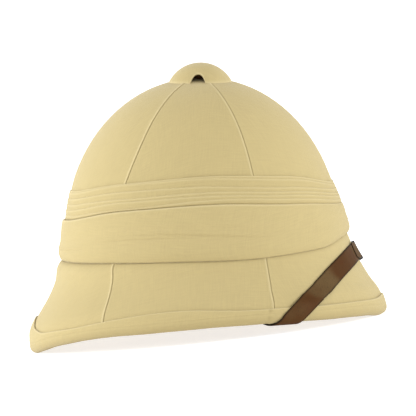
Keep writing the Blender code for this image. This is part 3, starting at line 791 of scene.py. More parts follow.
def makePleats(shape):
    turns = np.linspace(0, math.tau, shape["columns"], endpoint=False)
    folded = foldedDegrees(turns)
    side = np.where(np.sin(turns) < 0, 1.0, -1.0)
    lines = []
    for i, name in enumerate(pleatSteps):
        line = easedTable(pleatLines, "turn", name, folded)
        line = line + 0.012 * wander(turns, 0, 60 + i, (2, 3, 7))
        lines.append(line + 0.012 * side * np.sin(turns) * (i % 2))
    lines = np.array(lines)
    for i in range(1, len(lines)):
        lines[i] = np.minimum(lines[i], lines[i - 1] - 0.045)
    millimetre = 0.001 / shape["height"]  # as a share of the pleated height
    near = np.array((2.2, 1.5, 1.1, 0.8, 0.55, 0.35, 0.15, 0, -0.15, -0.35, -0.6, -0.9, -1.3, -1.9))
    near = near * millimetre
    ends = np.concatenate((np.full((1, len(turns)), 1.0), lines, np.full((1, len(turns)), -shape["tuck"])))
    rows = [1.0 - np.array((0, 0.1, 0.25, 0.5, 0.9, 1.4))[:, None] * millimetre + 0 * turns]
    for above, line, below in zip(ends, ends[1:-1], ends[2:]):
        room = np.minimum(1, np.minimum(above - line, line - below) / 2 / (2.2 * millimetre))
        rows.append(line + near[:, None] * room)
        foot = line - near[0] * room
        spread = np.clip((line - below) / 0.1 - 0.6, 0.05, 1)
        rows.append(foot - (foot - below)[None] * np.array((0.12, 0.3, 0.5))[:, None] * spread[None])
    rows.append(np.linspace(0.03, -shape["tuck"], 6)[:, None] + 0 * turns)
    edge = -np.sort(-np.concatenate(rows), axis=0).T
    lift = np.full(edge.shape, lifts["puggareeSkin"])
    paintedShade = np.zeros(edge.shape)
    paintedHighlight = np.zeros(edge.shape)
    for line, above, name in zip(lines, ends, pleatSteps):
        away = (line[:, None] - edge) / millimetre * 0.001  # metres below the edge
        drop = pleatSteps[name]
        lift += drop * smoothStep(away / shape["stepWidth"] + 0.5)
        lift -= 0.62 * drop * smoothStep(away / 0.0050) * (away > 0)
        lift -= shape["crevice"] * ridge(away + 0.00045, shape["creviceWidth"])
        # painted shade just above each pleat's lip and softly below it, and a painted highlight on the lip
        paintedShade = np.maximum(paintedShade, 0.10 * ridge(away + 0.0007, 0.0009))
        paintedShade = np.maximum(paintedShade, 0.06 * ridge(away - 0.0028, 0.0014))
        paintedHighlight = np.maximum(paintedHighlight, 0.38 * ridge(away - 0.0006, 0.0009))
    fromTop = (1 - edge) / millimetre * 0.001
    lift -= 0.00055 * (1 - np.sqrt(1 - (1 - np.clip(fromTop / 0.0008, 0, 1)) ** 2))
    # painted highlight along the puggaree's upper edge
    paintedHighlight = np.maximum(paintedHighlight, 0.55 * ridge(fromTop - 0.0006, 0.0007))
    turnGrid = np.repeat(turns[:, None], edge.shape[1], 1)
    lift += 0.00022 * wander(turnGrid, edge * 2, 71, (4, 9, 17)) * smoothStep(fromTop / 0.003)
    foldEase = smoothStep((edge + 0.02) / 0.06)
    lift = lifts["puggareeSkin"] + (lift - lifts["puggareeSkin"]) * foldEase
    # painted shade low on the pleats, where they go in under the broad band
    paintedShade = np.maximum(paintedShade, 0.16 * ridge(edge - 0.03, 0.03))
    edge = edge + 0.006 * wander(turnGrid, 0, 73, (2, 5, 9)) * (edge > 0.9)
    places = foldPlace(edge, turnGrid)
    lowRows = np.linspace(1, -shape["tuck"], 9)
    lowTurns = np.repeat(turns[:, None], len(lowRows), 1)
    lowPlaces = foldPlace(np.repeat(lowRows[None], len(turns), 0), lowTurns)
    low = np.full(lowPlaces.shape, lifts["puggareeLow"] - 0.0003)
    zeros = np.zeros(low.shape)
    piece = loopedPiece("puggareePleats", aroundSection(lowTurns, turnGrid),
                        aroundSection(lowPlaces, places), aroundSection(low, lift),
                        cotton, True, {"paintedShade": aroundSection(zeros, paintedShade),
                                       "paintedHighlight": aroundSection(zeros, paintedHighlight)})
    return settle(piece, "khaki_cloth", "puggaree_pleats")


def bandSpot(turn, down):
    # the place at a share of the way down the band, from its folded top edge to its hem
    top = foldPlace(0.0, turn) + 0.0012 * wander(turn, 0, 81, (2, 5, 9))
    return top + (hemAt(turn) - top) * down


def stretchedPoints(turns, places, down, high, extra, hemLift, shape):
    # below a row the cloth runs nearly straight to its hem, clear of the waist's hollow
    start = int(np.searchsorted(down, shape["straightFrom"]))
    points = liftedPoint(turns, places, high)
    first = points[:, start:start + 1].copy()
    last = liftedPoint(turns[:, -1], places[:, -1], hemLift[:, -1])[:, None]
    way = (last - first) / np.linalg.norm(last - first, axis=-1, keepdims=True)
    across = facingOut(turns[:, start], places[:, start])[:, None]
    across = across - np.sum(across * way, -1, keepdims=True) * way
    across = across / np.linalg.norm(across, axis=-1, keepdims=True)
    x = ((down[start:] - down[start]) / (1 - down[start]))[None]
    hemRound = 1 - np.sqrt(1 - (1 - np.clip((1 - down[start:]) / 0.014, 0, 1)) ** 2)
    bow = shape["bow"] * 6.75 * x ** 2 * (1 - x)  # as high as stated two thirds of the way down
    rise = bow + extra[:, start:] - extra[:, start:start + 1] - 0.0008 * hemRound[None]
    points[:, start:] = first + (last - first) * x[..., None] + across * rise[..., None]
    return points


# Soft slanting creases where the band's cloth was pulled tight: the degrees round of its middle, its
# slope, its level as a share of the way down, its length in degrees and its depth
bandCreases = (
    (-88, 0.0022, 0.47, 26, 0.00055),
    (-112, 0.0010, 0.50, 20, 0.0003),
    (84, -0.0018, 0.52, 30, 0.0005),
    (150, 0.0016, 0.40, 24, 0.0004),
    (20, -0.0012, 0.55, 24, 0.0004),
    (-160, -0.0010, 0.62, 18, 0.0003),
)


def makeBand(shape):
    turns = np.linspace(0, math.tau, shape["columns"], endpoint=False)
    fine = np.array((0, 0.001, 0.003, 0.006, 0.010, 0.016, 0.024, 0.034, 0.048))
    down = np.concatenate((fine, np.linspace(0.065, 0.935, shape["bandRows"] - 18), 1 - fine[::-1]))
    turnGrid = np.repeat(turns[:, None], len(down), 1)
    placeGrid = bandSpot(turnGrid, down[None])
    front = 0.5 + 0.5 * np.cos(turnGrid)
    crest = lifts["puggareeSkin"] + shape["fullness"] + 0.0012 - 0.0026 * front
    body = shape["swell"] * smoothStep(down / 0.55) * smoothStep((1.05 - down) / 0.5)
    topRound = 1 - np.sqrt(1 - (1 - np.clip(down / 0.020, 0, 1)) ** 2)
    hemLift = lifts["coverHigh"] + 0.0016 + clothBridge(turnGrid, placeGrid)
    high = crest + body[None] - 0.0018 * topRound[None] - 0.0006 * (1 - smoothStep(down / 0.1))[None]
    plain = high
    high = high + 0.00035 * wander(turnGrid, down[None] * 2.2, 83, (3, 7, 13)) * smoothStep(down / 0.06)[None]
    # painted highlight along the band's folded upper edge
    paintedHighlight = 0.60 * ridge(down[None] - 0.016, 0.012) + 0 * high
    paintedShade = np.zeros(high.shape)
    for middle, slope, level, length, deep in bandCreases:
        away = (np.degrees(turnGrid) - middle + 180) % 360 - 180
        line = down[None] - level - slope * away
        ends = np.exp(-(away / length) ** 4)
        high = high + deep * ends * (ridge(line + 0.02, 0.030) - 0.9 * ridge(line - 0.025, 0.022))
        # painted shade in the hollow of each crease
        paintedShade = np.maximum(paintedShade, 0.10 * ends * ridge(line - 0.022, 0.020))
    lowDown = np.array((0, 0.03, 0.12, 0.3, 0.55, 0.8, 0.96, 1.0))
    lowTurns = np.repeat(turns[:, None], len(lowDown), 1)
    lowPlaces = bandSpot(lowTurns, lowDown[None])
    overPleats = lowPlaces < foldPlace(-0.12, lowTurns)
    low = np.where(overPleats, lifts["puggareeSkin"] + 0.0003, lifts["puggareeLow"] - 0.0002)
    low = low + clothBridge(lowTurns, lowPlaces) * (lowDown > 0.5)
    zeros = np.zeros(low.shape)
    outer = stretchedPoints(turnGrid, placeGrid, down, high, high - plain, hemLift, shape)
    points = aroundSection(liftedPoint(lowTurns, lowPlaces, low), outer)
    piece = stripPiece("puggareeBand", points, cotton, True, {"paintedShade": aroundSection(zeros, paintedShade),
                                                              "paintedHighlight": aroundSection(zeros, paintedHighlight)})
    return settle(piece, "khaki_cloth", "puggaree_band")


pleats = makePleats(puggareeShape)
band = makeBand(puggareeShape)
print("puggaree made")


# Vented cap on the crown

capShape = {
    "radius": 0.029,
    "height": 0.0178,
    "wall": 0.002,
    "notchWidth": 0.0142,
    "notchHeight": 0.0088,
    "notchColumns": 46,
    "plainColumns": 60,
    "rows": 20,
    "postRadius": 0.005,
    "postDepth": 0.008,
}


def crownDrop(radius):
    spread = (radius / (hat["crownLength"] / 2)) ** hat["crownRoundness"]
    return hat["crownHeight"] * (1 - (1 - spread) ** (1 / hat["crownRoundness"]))


crownTop = (0, -(hat["crownForward"] + float(leanShift(1.0))), hat["waistHeight"] + hat["crownHeight"])
crownStand = Matrix.Translation(crownTop) @ Matrix.Rotation(hat["crownLean"], 4, "X")


def makeCap(shape):
    seat = lifts["coverHigh"] + 0.0003 - crownDrop(shape["radius"])
    ball = (shape["radius"] ** 2 + shape["height"] ** 2) / (2 * shape["height"])
    middle = seat + shape["height"] - ball
    half = shape["notchWidth"] / 2
    wide = math.asin(half / shape["radius"]) * 1.12  # the close columns reach past the notch
    angles = []
    for side in (0, 1):
        centre = math.pi / 2 + math.pi * side
        u = np.linspace(-1, 1, shape["notchColumns"])
        angles.append(centre + wide * (0.45 * u + 0.55 * np.sin(u * math.pi / 2)))
        angles.append(np.linspace(centre + wide, centre + math.pi - wide, shape["plainColumns"] + 2)[1:-1])
    angles = np.concatenate(angles)
    offset = shape["radius"] * np.abs(np.cos(angles))  # distance from a notch's middle
    arch = shape["notchHeight"] * np.clip(1 - (offset / half) ** 2.6, 0, 1) ** 0.50
    points = []
    for angle, cut in zip(angles, arch):
        edge = math.acos(np.clip((seat + cut - middle) / ball, -1, 1))
        section = []  # (distance from the ball's middle, tilt) over the outside and back up the inside
        for i in range(shape["rows"] + 1):
            section.append((ball, edge * (i / shape["rows"]) ** 0.9))
        for i in range(1, 6):  # the cloth turned round the cap's edge
            roll = math.pi * i / 6
            radius = ball - shape["wall"] * (1 - math.cos(roll)) / 2
            section.append((radius, edge + 0.0007 * math.sin(roll) / ball))
        for i in range(shape["rows"] + 1):
            section.append((ball - shape["wall"], edge * (1 - i / shape["rows"])))
        column = []
        for radius, tilt in section[1:-1]:
            out = radius * math.sin(tilt)
            column.append((out * math.sin(angle), -out * math.cos(angle), middle + radius * math.cos(tilt)))
        points.append(column)
    points = np.array(points)
    columns, count = points.shape[:2]
    top = np.array([[0, 0, middle + ball], [0, 0, middle + ball - shape["wall"]]])
    index = gridIndex(points)
    beside = np.roll(index, -1, 0)
    faces = np.stack((index[:, :-1], index[:, 1:], beside[:, 1:], beside[:, :-1]), -1).reshape(-1, 4).tolist()
    faces += [[columns * count, int(a), int(b)] for a, b in zip(index[:, 0], beside[:, 0])]
    faces += [[columns * count + 1, int(b), int(a)] for a, b in zip(index[:, -1], beside[:, -1])]
    stacked = np.concatenate((points.reshape(-1, 3), top))
    rowOf = np.concatenate((np.tile(np.arange(count), columns), (0, count)))
    # painted shade under the cap's rolled edge and a painted highlight along its top
    paintedShade = 0.30 * ridge(rowOf - shape["rows"] - 2.5, 1.2)
    paintedHighlight = 0.80 * ridge(rowOf - shape["rows"] + 0.2, 1.5)
    uv = {i: (stacked[i][0], stacked[i][1]) for i in range(len(stacked))}
    corners = np.array([uv[i] for face in faces for i in face])
    placed = np.array([tuple(crownStand @ Vector(p)) for p in stacked])
    cap = meshObject("ventCap", placed, faces, cotton, corners, {"paintedShade": paintedShade, "paintedHighlight": paintedHighlight})
    cap.data.materials.append(capLining)
    inner = set(np.nonzero(rowOf >= shape["rows"] + 5)[0].tolist())
    for face in cap.data.polygons:
        if all(i in inner for i in face.vertices):
            face.material_index = 1
    # the hub under the cap that the post is screwed into
    hub = shape["postRadius"] + 0.0023
    foot = lifts["coverHigh"] + 0.0003
    inner = ball - shape["wall"] + 0.0004
    flange = [(hub * k, middle + math.sqrt(inner ** 2 - (hub * k) ** 2)) for k in (0.4, 0.8, 1.2, 1.6)]
    under = flange[-1][1]
    hubOutline = [(0, middle + inner)] + flange + [
        (hub * 1.25, under - 0.0015), (hub * 1.02, under - 0.004), (hub, foot + 0.001),
        (hub * 0.94, foot), (0, foot)]
    settle(lathedPiece("capHub", hubOutline, 32, capLining, crownStand), "khaki_cloth")
    top = foot + shape["postDepth"] - 0.0003
    washer = -hat["wall"] - crownDrop(0.0095) - 0.0003
    postOutline = [
        (0, top), (shape["postRadius"], top), (shape["postRadius"], washer + 0.0001), (0.0084, washer),
        (0.0089, washer - 0.0003), (0.0090, washer - 0.0012), (0.0086, washer - 0.0015),
        (0.0052, washer - 0.0015), (0.0050, washer - 0.0014), (0, washer - 0.0014)]
    settle(lathedPiece("capPost", postOutline, 40, brass, crownStand), "brass", "vent_post")
    return settle(cap, "khaki_cloth", "vent_cap")


makeCap(capShape)
print("cap made")


# Leather chin strap

strapShape = {
    "width": 0.017,
    "thickness": 0.0013,
    "frontHeight": 0.058,
    "footForward": 0.0735,
    "insideLength": 0.062,
    "tail": 0.012,
    "tailSlant": math.radians(12),
    "shearReach": 0.035,
    "overlap": 0.040,
    "keeperWidth": 0.007,
    "keeperLeather": 0.0008,
    "keeperDistance": 0.025,
    "rivetFromEnd": 0.009,
    "walkStep": 0.0005,
    "gap": 0.00015,
    "layerGap": 0.00006,
    "endRounding": 0.0065,
    "bindingBed": 0.0033,
    "insideBed": 0.0036,
    "openBed": 0.0018,
}


# How much of the leather's grey tone shows, by metres from the front centre
leatherTones = {
    "distance": (0, 0.010, 0.022, 0.066, 0.078, 0.104, 0.116, 0.30),
    "grey": (0.45, 0.45, 0.05, 0.05, 0.70, 0.70, 0.05, 0.05),
}


def bedLift(place):
    x = np.clip((place - 1.66) / 0.16, 0, 1)
    lift = strapShape["openBed"] + (strapShape["bindingBed"] - strapShape["openBed"]) * x
    x = np.clip((place - 2) / hat["edgeSpan"], 0, 1)
    lift = lift + (strapShape["insideBed"] - strapShape["bindingBed"]) * x
    x = smoothStep((place - insideStart - 0.24) / 0.25)
    return lift + (0.0010 - strapShape["insideBed"]) * x


def bedPoint(turn, place, lift=0.0):
    return liftedPoint(turn, place, bedLift(place) + lift)


def bedAxes(turn, place):
    probe = 0.0001
    here = bedPoint(turn, place)
    return (bedPoint(turn + probe, place) - here) / probe, (bedPoint(turn, place + probe) - here) / probe


def unit(vector):
    return vector / np.linalg.norm(vector)


def strapPlaces(turns):
    # where a slanting plane, low at the back and high at the front, cuts the brim
    waist = float(waistLevel(0.0))
    front = bedPoint(0.0, 1 + (waist - strapShape["frontHeight"]) / (waist - hat["rimFloor"]))
    slope = front[2] / (-front[1] - strapShape["footForward"])
    above, below = np.full(turns.shape, 1.0), np.full(turns.shape, 2.1)
    for _ in range(24):
        middle = (above + below) / 2
        spot = bedPoint(turns, middle)
        higher = spot[..., 2] > slope * (-spot[..., 1] - strapShape["footForward"])
        above, below = np.where(higher, middle, above), np.where(higher, below, middle)
    return above


def strapRoute(side, limit=1.0):
    # (distance, turn, place, heading) from the front centre to the rim, then round it and up inside
    step = strapShape["walkStep"]
    turns = side * np.linspace(0, 1.5, 3001)
    places = strapPlaces(turns)
    line = bedPoint(turns, places)
    along = np.concatenate(([0], np.cumsum(np.linalg.norm(np.diff(line, axis=0), axis=1))))
    rimAt = along[np.argmax(places >= 2)]
    route = []
    for distance in np.arange(0, min(rimAt, limit), step):
        i = int(np.searchsorted(along, distance))
        i = min(max(i, 1), len(along) - 2)
        heading = unit(line[i + 1] - line[i - 1])
        turn, place = (float(np.interp(distance, along, values)) for values in (turns, places))
        route.append((distance, turn, place, heading))
    if limit < rimAt:
        return route
    distance, turn, place, heading = route[-1]
    roundWay = bedAxes(turn, 1.99)[0]
    angle = math.acos(float(unit(roundWay * side) @ heading))
    end = distance + math.pi * 0.0056 / math.sin(angle) + strapShape["insideLength"]
    while distance < end:
        roundWay, climb = bedAxes(turn, place)
        heading = unit(roundWay) * side * math.cos(angle) + unit(climb) * math.sin(angle)
        turn += side * step * math.cos(angle) / np.linalg.norm(roundWay)
        place += step * math.sin(angle) / np.linalg.norm(climb)
        distance += step
        route.append((distance, turn, place, heading))
    return route


def tailRoute(side):
    turn, distance = 0.0, 0.0
    place = float(strapPlaces(np.array(0.0)))
    route = []
    while distance < strapShape["tail"]:
        roundWay, climb = bedAxes(turn, place)
        rise = strapShape["tailSlant"] * min(1, distance / strapShape["tail"] * 2)
        heading = unit(roundWay) * side * math.cos(rise) - unit(climb) * math.sin(rise)
        route.append((distance, turn, place, heading))
        turn += side * strapShape["walkStep"] * math.cos(rise) / np.linalg.norm(roundWay)
        place -= strapShape["walkStep"] * math.sin(rise) / np.linalg.norm(climb)
        distance += strapShape["walkStep"]
    return route


def acrossSpots(station, offsets):
    # (turn, place) beside a station; near the rim the row slants until it lies along the rim
    _, turn, place, heading = station
    roundWay, climb = bedAxes(turn, place)
    sideWay = unit(np.cross(np.cross(climb, roundWay), heading))
    edgeDistance = max(2 - place, place - insideStart, 0) * np.linalg.norm(climb)
    x = min(edgeDistance / strapShape["shearReach"], 1)
    if x < 1:
        rimWay = unit(roundWay)
        slant = (rimWay @ heading) / (rimWay @ sideWay)
        sideWay = sideWay + heading * slant * (1 - x * x * (3 - 2 * x))
    a, b, c = roundWay @ roundWay, roundWay @ climb, climb @ climb
    p, q = roundWay @ sideWay, climb @ sideWay
    toTurn, toPlace = (c * p - b * q) / (a * c - b * b), (a * q - b * p) / (a * c - b * b)
    return turn + offsets * toTurn, place + offsets * toPlace


def stackLift(far, upper):
    lift = (strapShape["keeperLeather"] + strapShape["gap"]) * float(smoothStep((far + 0.004) / 0.016))
    if not upper:
        return lift
    x = float(smoothStep((strapShape["overlap"] + 0.028 - far) / 0.024))
    return (lift + strapShape["thickness"] + strapShape["layerGap"]) * x


def strapSection(count=15):
    # (share of half the width, share of the thickness, darkness of the dyed edge) round the strap
    xs = np.sin(np.linspace(-1, 1, count) * math.pi / 2)
    xs = 0.35 * xs + 0.65 * np.linspace(-1, 1, count)
    edge = 0.5 * np.clip((np.abs(xs) - 0.93) / 0.07, 0, 1) ** 2
    dark = np.clip((np.abs(xs) - 0.86) / 0.09, 0, 1)
    low = [(x, e * 0.7, 1) for x, e in zip(xs, edge)]
    high = [(x, 1 - e + 0.05 * (1 - x * x), d) for x, e, d in zip(xs, edge, dark)]
    return np.array(low + high[::-1])


def makeStrap(name, node, side, end):
    main = strapRoute(side)
    before = [(-distance, turn, place, -heading) for distance, turn, place, heading in reversed(end[1:])]
    stations = before + main
    picks = [0, 1, 2, 3, 5, 7, 9, 12]
    edge = [i for i, s in enumerate(stations) if 1.95 <= s[2] <= insideStart + 0.05]
    i = 15
    while i < len(stations) - 12:
        picks.append(i)
        i += 1 if edge[0] <= i <= edge[-1] else 3
    picks += [len(stations) - 1 - k for k in (12, 9, 7, 5, 3, 2, 1, 0)]
    section = strapSection()
    half = strapShape["width"] / 2
    length = stations[-1][0] - stations[0][0]
    points, dark, flat, tones = [], [], [], []
    for k in picks:
        station = stations[k]
        run = station[0] - stations[0][0]
        fromEnd = min(run, length - run)
        rounded = min(fromEnd + 0.0001, strapShape["endRounding"]) / strapShape["endRounding"]
        narrow = 0.75 + 0.25 * math.sqrt(1 - (1 - rounded) ** 2)
        offsets = section[:, 0] * half * narrow
        turns, places = acrossSpots(station, offsets)
        lift = stackLift(station[0] * side, side > 0)
        thin = 1 - 0.35 * (1 - min(fromEnd / 0.0012, 1))
        skive = 1 - 0.45 * (1 - float(smoothStep(run / 0.016))) if side > 0 else 1
        height = lift + strapShape["thickness"] * skive * (0.5 + (section[:, 1] - 0.5) * thin)
        points.append(bedPoint(turns, places, height))
        dark.append(np.maximum(section[:, 2], 1 - min(fromEnd / 0.0015, 1)))
        flat.append(np.stack((np.full(len(offsets), run), offsets), -1))
        tones.append(np.full(len(offsets), easedTable(leatherTones, "distance", "grey", abs(station[0]))))
    points, dark, flat = np.array(points), np.array(dark), np.array(flat)
    columns, count = points.shape[:2]
    index = gridIndex(points)
    corners = gridCorners(flat)
    faceList = gridFaces(index, False).tolist()
    wide = count // 2
    for column in (0, columns - 1):
        for i in range(wide - 1):
            quad = [i, i + 1, count - 2 - i, count - 1 - i]
            faceList.append(index[column, quad].tolist())
            corners = np.concatenate((corners, flat[column][quad]))
    strap = meshObject(name, points, faceList, leather, corners, {"rim": dark, "tone": np.array(tones)})
    settle(strap, "brown_leather", node)
    return main


# Across the keeper's width: (share along the strap, share of the wall outwards, dye)
keeperProfile = (
    (-1, 0.0, 1), (-1, 0.55, 1), (-0.94, 0.9, 1), (-0.82, 1, 0.7), (-0.5, 1.06, 0), (0, 1.08, 0),
    (0.5, 1.06, 0), (0.82, 1, 0.7), (0.94, 0.9, 1), (1, 0.55, 1), (1, 0.0, 1), (0, 0.0, 1),
)


def makeKeeper(route):
    # a loop of thinner leather round both thicknesses
    shape = strapShape
    inner = shape["width"] / 2 + shape["gap"]
    leatherWall = shape["keeperLeather"]
    top = 2 * (leatherWall + shape["thickness"] + shape["gap"]) - leatherWall + shape["gap"]
    loop = []
    for x in np.linspace(-1, 1, 13):
        loop.append((inner * x, leatherWall, 0, -1))
    for angle in np.linspace(0, math.pi, 9)[1:-1]:
        loop.append((inner, leatherWall + (top - leatherWall) * (1 - math.cos(angle)) / 2, 1, 0))
    for x in np.linspace(1, -1, 13):
        loop.append((inner * x, top, 0, 1))
    for angle in np.linspace(0, math.pi, 9)[1:-1]:
        loop.append((-inner, top - (top - leatherWall) * (1 - math.cos(angle)) / 2, -1, 0))
    loop = np.array(loop)
    normals = loop[:, 2:] + 0.5 * (np.roll(loop[:, 2:], 1, 0) + np.roll(loop[:, 2:], -1, 0))
    normals /= np.abs(normals).max(1, keepdims=True)
    points, dark = [], []
    for a, b, dye in keeperProfile:
        station = route[round((shape["keeperDistance"] + a * shape["keeperWidth"] / 2) / shape["walkStep"])]
        offsets = loop[:, 0] + normals[:, 0] * leatherWall * b
        heights = loop[:, 1] + normals[:, 1] * leatherWall * b
        turns, places = acrossSpots(station, offsets)
        points.append(bedPoint(turns, places, heights))
        dark.append(np.full(len(loop), dye))
    points = np.array(points)
    faces = gridFaces(gridIndex(points), True)
    keeper = meshObject("strapKeeper", points, faces, leather, None, {"rim": np.array(dark)})
    return settle(keeper, "brown_leather", "strap_keeper")


def makeRivet(name, node, route):
    _, turn, place, _ = route[-1 - round(strapShape["rivetFromEnd"] / strapShape["walkStep"])]
    foot = Vector(liftedPoint(turn, place, 0.0))
    out = (Vector(liftedPoint(turn, place, 0.001)) - foot).normalized()
    stand = Matrix.Translation(foot) @ out.to_track_quat("Z", "Y").to_matrix().to_4x4()
    head = float(bedLift(place)) + strapShape["thickness"] + 0.0001
    dome = [(0.004 * math.sin(a), head + 0.0004 + 0.0009 * math.cos(a))
            for a in np.linspace(0, math.pi / 2, 8)]
    outline = [(0, dome[0][1])] + dome[1:] + [
        (0.0040, head + 0.0002), (0.0038, head), (0.0015, head), (0.0015, -0.003), (0, -0.003)]
    return settle(lathedPiece(name, outline, 32, brass, stand), "brass", node)


rightRoute = makeStrap("chinStrapRight", "chin_strap_right", -1, strapRoute(1, strapShape["overlap"]))
leftRoute = makeStrap("chinStrapLeft", "chin_strap_left", 1, tailRoute(-1))
makeKeeper(leftRoute)
makeRivet("strapRivetRight", "strap_rivet_right", rightRoute)
makeRivet("strapRivetLeft", "strap_rivet_left", leftRoute)
print("strap made")


# Stitches, made with Geometry Nodes along guide lines that carry their outward direction

stitchSizes = {"Pitch": 0.0028, "Length": 0.0019, "Thread Width": 0.00045, "Turn Jitter": 0.08}
seamSizes = {"Pitch": 0.0026, "Length": 0.0017, "Thread Width": 0.00032, "Turn Jitter": 0.06, "Seed": 5}
bindingSizes = {"Pitch": 0.0034, "Length": 0.0020, "Thread Width": 0.00036, "Turn Jitter": 0.10, "Seed": 9}


def stitchTree():
    tree = bpy.data.node_groups.new("stitchRow", "GeometryNodeTree")
    link = tree.links.new
    tree.interface.new_socket("Geometry", in_out="INPUT", socket_type="NodeSocketGeometry")
    for name, value in stitchSizes.items():
        socket = tree.interface.new_socket(name, in_out="INPUT", socket_type="NodeSocketFloat")
        socket.default_value = value
    seed = tree.interface.new_socket("Seed", in_out="INPUT", socket_type="NodeSocketInt")
    seed.default_value = 3
    tree.interface.new_socket("Material", in_out="INPUT", socket_type="NodeSocketMaterial")
    tree.interface.new_socket("Geometry", in_out="OUTPUT", socket_type="NodeSocketGeometry")
    new = tree.nodes.new
    given, result = new("NodeGroupInput"), new("NodeGroupOutput")
    toCurve, resample = new("GeometryNodeMeshToCurve"), new("GeometryNodeResampleCurve")
    resample.mode = "LENGTH"
    link(given.outputs["Geometry"], toCurve.inputs["Mesh"])
    link(toCurve.outputs["Curve"], resample.inputs["Curve"])
    link(given.outputs["Pitch"], resample.inputs["Length"])
    ball = new("GeometryNodeMeshUVSphere")
    ball.inputs["Segments"].default_value = 6
    ball.inputs["Rings"].default_value = 4
    ball.inputs["Radius"].default_value = 0.5
    size, shaped = new("ShaderNodeCombineXYZ"), new("GeometryNodeTransform")
    link(given.outputs["Length"], size.inputs["X"])
    link(given.outputs["Thread Width"], size.inputs["Y"])
    link(given.outputs["Thread Width"], size.inputs["Z"])
    link(ball.outputs["Mesh"], shaped.inputs["Geometry"])
    link(size.outputs[0], shaped.inputs["Scale"])
    outward = new("GeometryNodeInputNamedAttribute")
    outward.data_type = "FLOAT_VECTOR"
    outward.inputs["Name"].default_value = "outward"
    stand, along = new("FunctionNodeAlignRotationToVector"), new("FunctionNodeAlignRotationToVector")
    stand.axis, along.axis, along.pivot_axis = "Z", "X", "Z"
    link(outward.outputs["Attribute"], stand.inputs["Vector"])
    link(stand.outputs["Rotation"], along.inputs["Rotation"])
    tangent = new("GeometryNodeInputTangent")
    link(tangent.outputs[0], along.inputs["Vector"])
    jitter, turned = new("FunctionNodeRandomValue"), new("FunctionNodeRotateRotation")
    spin = new("FunctionNodeAxisAngleToRotation")
    turned.rotation_space = "LOCAL"
    spin.inputs["Axis"].default_value = (0, 0, 1)
    minus = new("ShaderNodeMath")
    minus.operation = "MULTIPLY"
    minus.inputs[1].default_value = -1
    link(given.outputs["Turn Jitter"], minus.inputs[0])
    link(minus.outputs[0], jitter.inputs[2])
    link(given.outputs["Turn Jitter"], jitter.inputs[3])
    link(given.outputs["Seed"], jitter.inputs["Seed"])
    link(jitter.outputs[1], spin.inputs["Angle"])
    link(along.outputs["Rotation"], turned.inputs["Rotation"])
    link(spin.outputs["Rotation"], turned.inputs["Rotate By"])
    place, real = new("GeometryNodeInstanceOnPoints"), new("GeometryNodeRealizeInstances")
    smooth, coat = new("GeometryNodeSetShadeSmooth"), new("GeometryNodeSetMaterial")
    link(resample.outputs["Curve"], place.inputs["Points"])
    link(shaped.outputs["Geometry"], place.inputs["Instance"])
    link(turned.outputs["Rotation"], place.inputs["Rotation"])
    link(place.outputs["Instances"], real.inputs["Geometry"])
    link(real.outputs["Geometry"], smooth.inputs["Geometry"])
    link(smooth.outputs["Geometry"], coat.inputs["Geometry"])
    link(given.outputs["Material"], coat.inputs["Material"])
    link(coat.outputs["Geometry"], result.inputs["Geometry"])
    return tree


stitchRow = stitchTree()


def makeStitches(name, lines, sizes):
    # lines are (points, outward directions); each gives one row of stitches
    points, outs, edges = [], [], []
    for line, out in lines:
        start = len(points)
        points += line.tolist()
        outs += out.tolist()
        edges += [(start + i, start + i + 1) for i in range(len(line) - 1)]
    guide = bpy.data.meshes.new(name + "Guide")
    guide.from_pydata(points, edges, [])
    outward = guide.attributes.new("outward", "FLOAT_VECTOR", "POINT")
    outward.data.foreach_set("vector", np.array(outs, np.float32).ravel())
    holder = bpy.data.objects.new(name + "Guide", guide)
    bpy.context.scene.collection.objects.link(holder)
    maker = holder.modifiers.new("stitches", "NODES")
    maker.node_group = stitchRow
    ids = {item.name: item.identifier for item in stitchRow.interface.items_tree if item.in_out == "INPUT"}
    for key, value in sizes.items():
        maker[ids[key]] = value
    maker[ids["Material"]] = thread
    bpy.context.view_layer.update()
    ready = holder.evaluated_get(bpy.context.evaluated_depsgraph_get())
    mesh = bpy.data.meshes.new_from_object(ready)
    bpy.data.objects.remove(holder, do_unlink=True)
    if not mesh.materials:
        mesh.materials.append(thread)
    item = bpy.data.objects.new(name, mesh)
    bpy.context.scene.collection.objects.link(item)
    return settle(item, "khaki_cloth")


def guideLine(turns, places, lift):
    return liftedPoint(turns, places, lift), facingOut(turns, np.minimum(places, 2))


def seamStitches():
    # a row beside each seam, above the puggaree and again between its hem and the binding
    rows = []
    for index in range(6):
        hem = hemAt(seamTurn(index, 1.07)) + 0.01
        edge = bindingAt(seamTurn(index, 1.8)) - 0.005
        for first, last in ((radiusPlace(0.030), 0.62), (hem, edge)):
            places = np.linspace(float(first), float(last), 90)
            seam = seamTurn(index, places)
            side = 1 if index < 3 else -1
            beside = seam + side * 0.0024 / turnSpeed(seam, places)
            rows.append(guideLine(beside, places, lifts["coverHigh"] + 0.00025))
    return makeStitches("seamStitches", rows, seamSizes)


def bindingStitches():
    # small slip stitches along the binding's upper edge and a row inside the brim
    turns = np.linspace(0, math.tau, 500)
    upper = guideLine(turns, bindingAt(turns) + 0.0045, lifts["bindingHigh"] - 0.00012)
    inside = np.full(turns.shape, bindingShape["end"] - 0.03)
    inner = liftedPoint(turns, inside, lifts["bindingHigh"] - 0.00008)
    out = inner - liftedPoint(turns, inside, lifts["bindingHigh"] - 0.001)
    out = out / np.linalg.norm(out, axis=-1, keepdims=True)
    return makeStitches("bindingStitches", [upper, (inner, out)], bindingSizes)


seamRow = seamStitches()
bindingRow = bindingStitches()
print("stitches made")


# Floor, light and camera

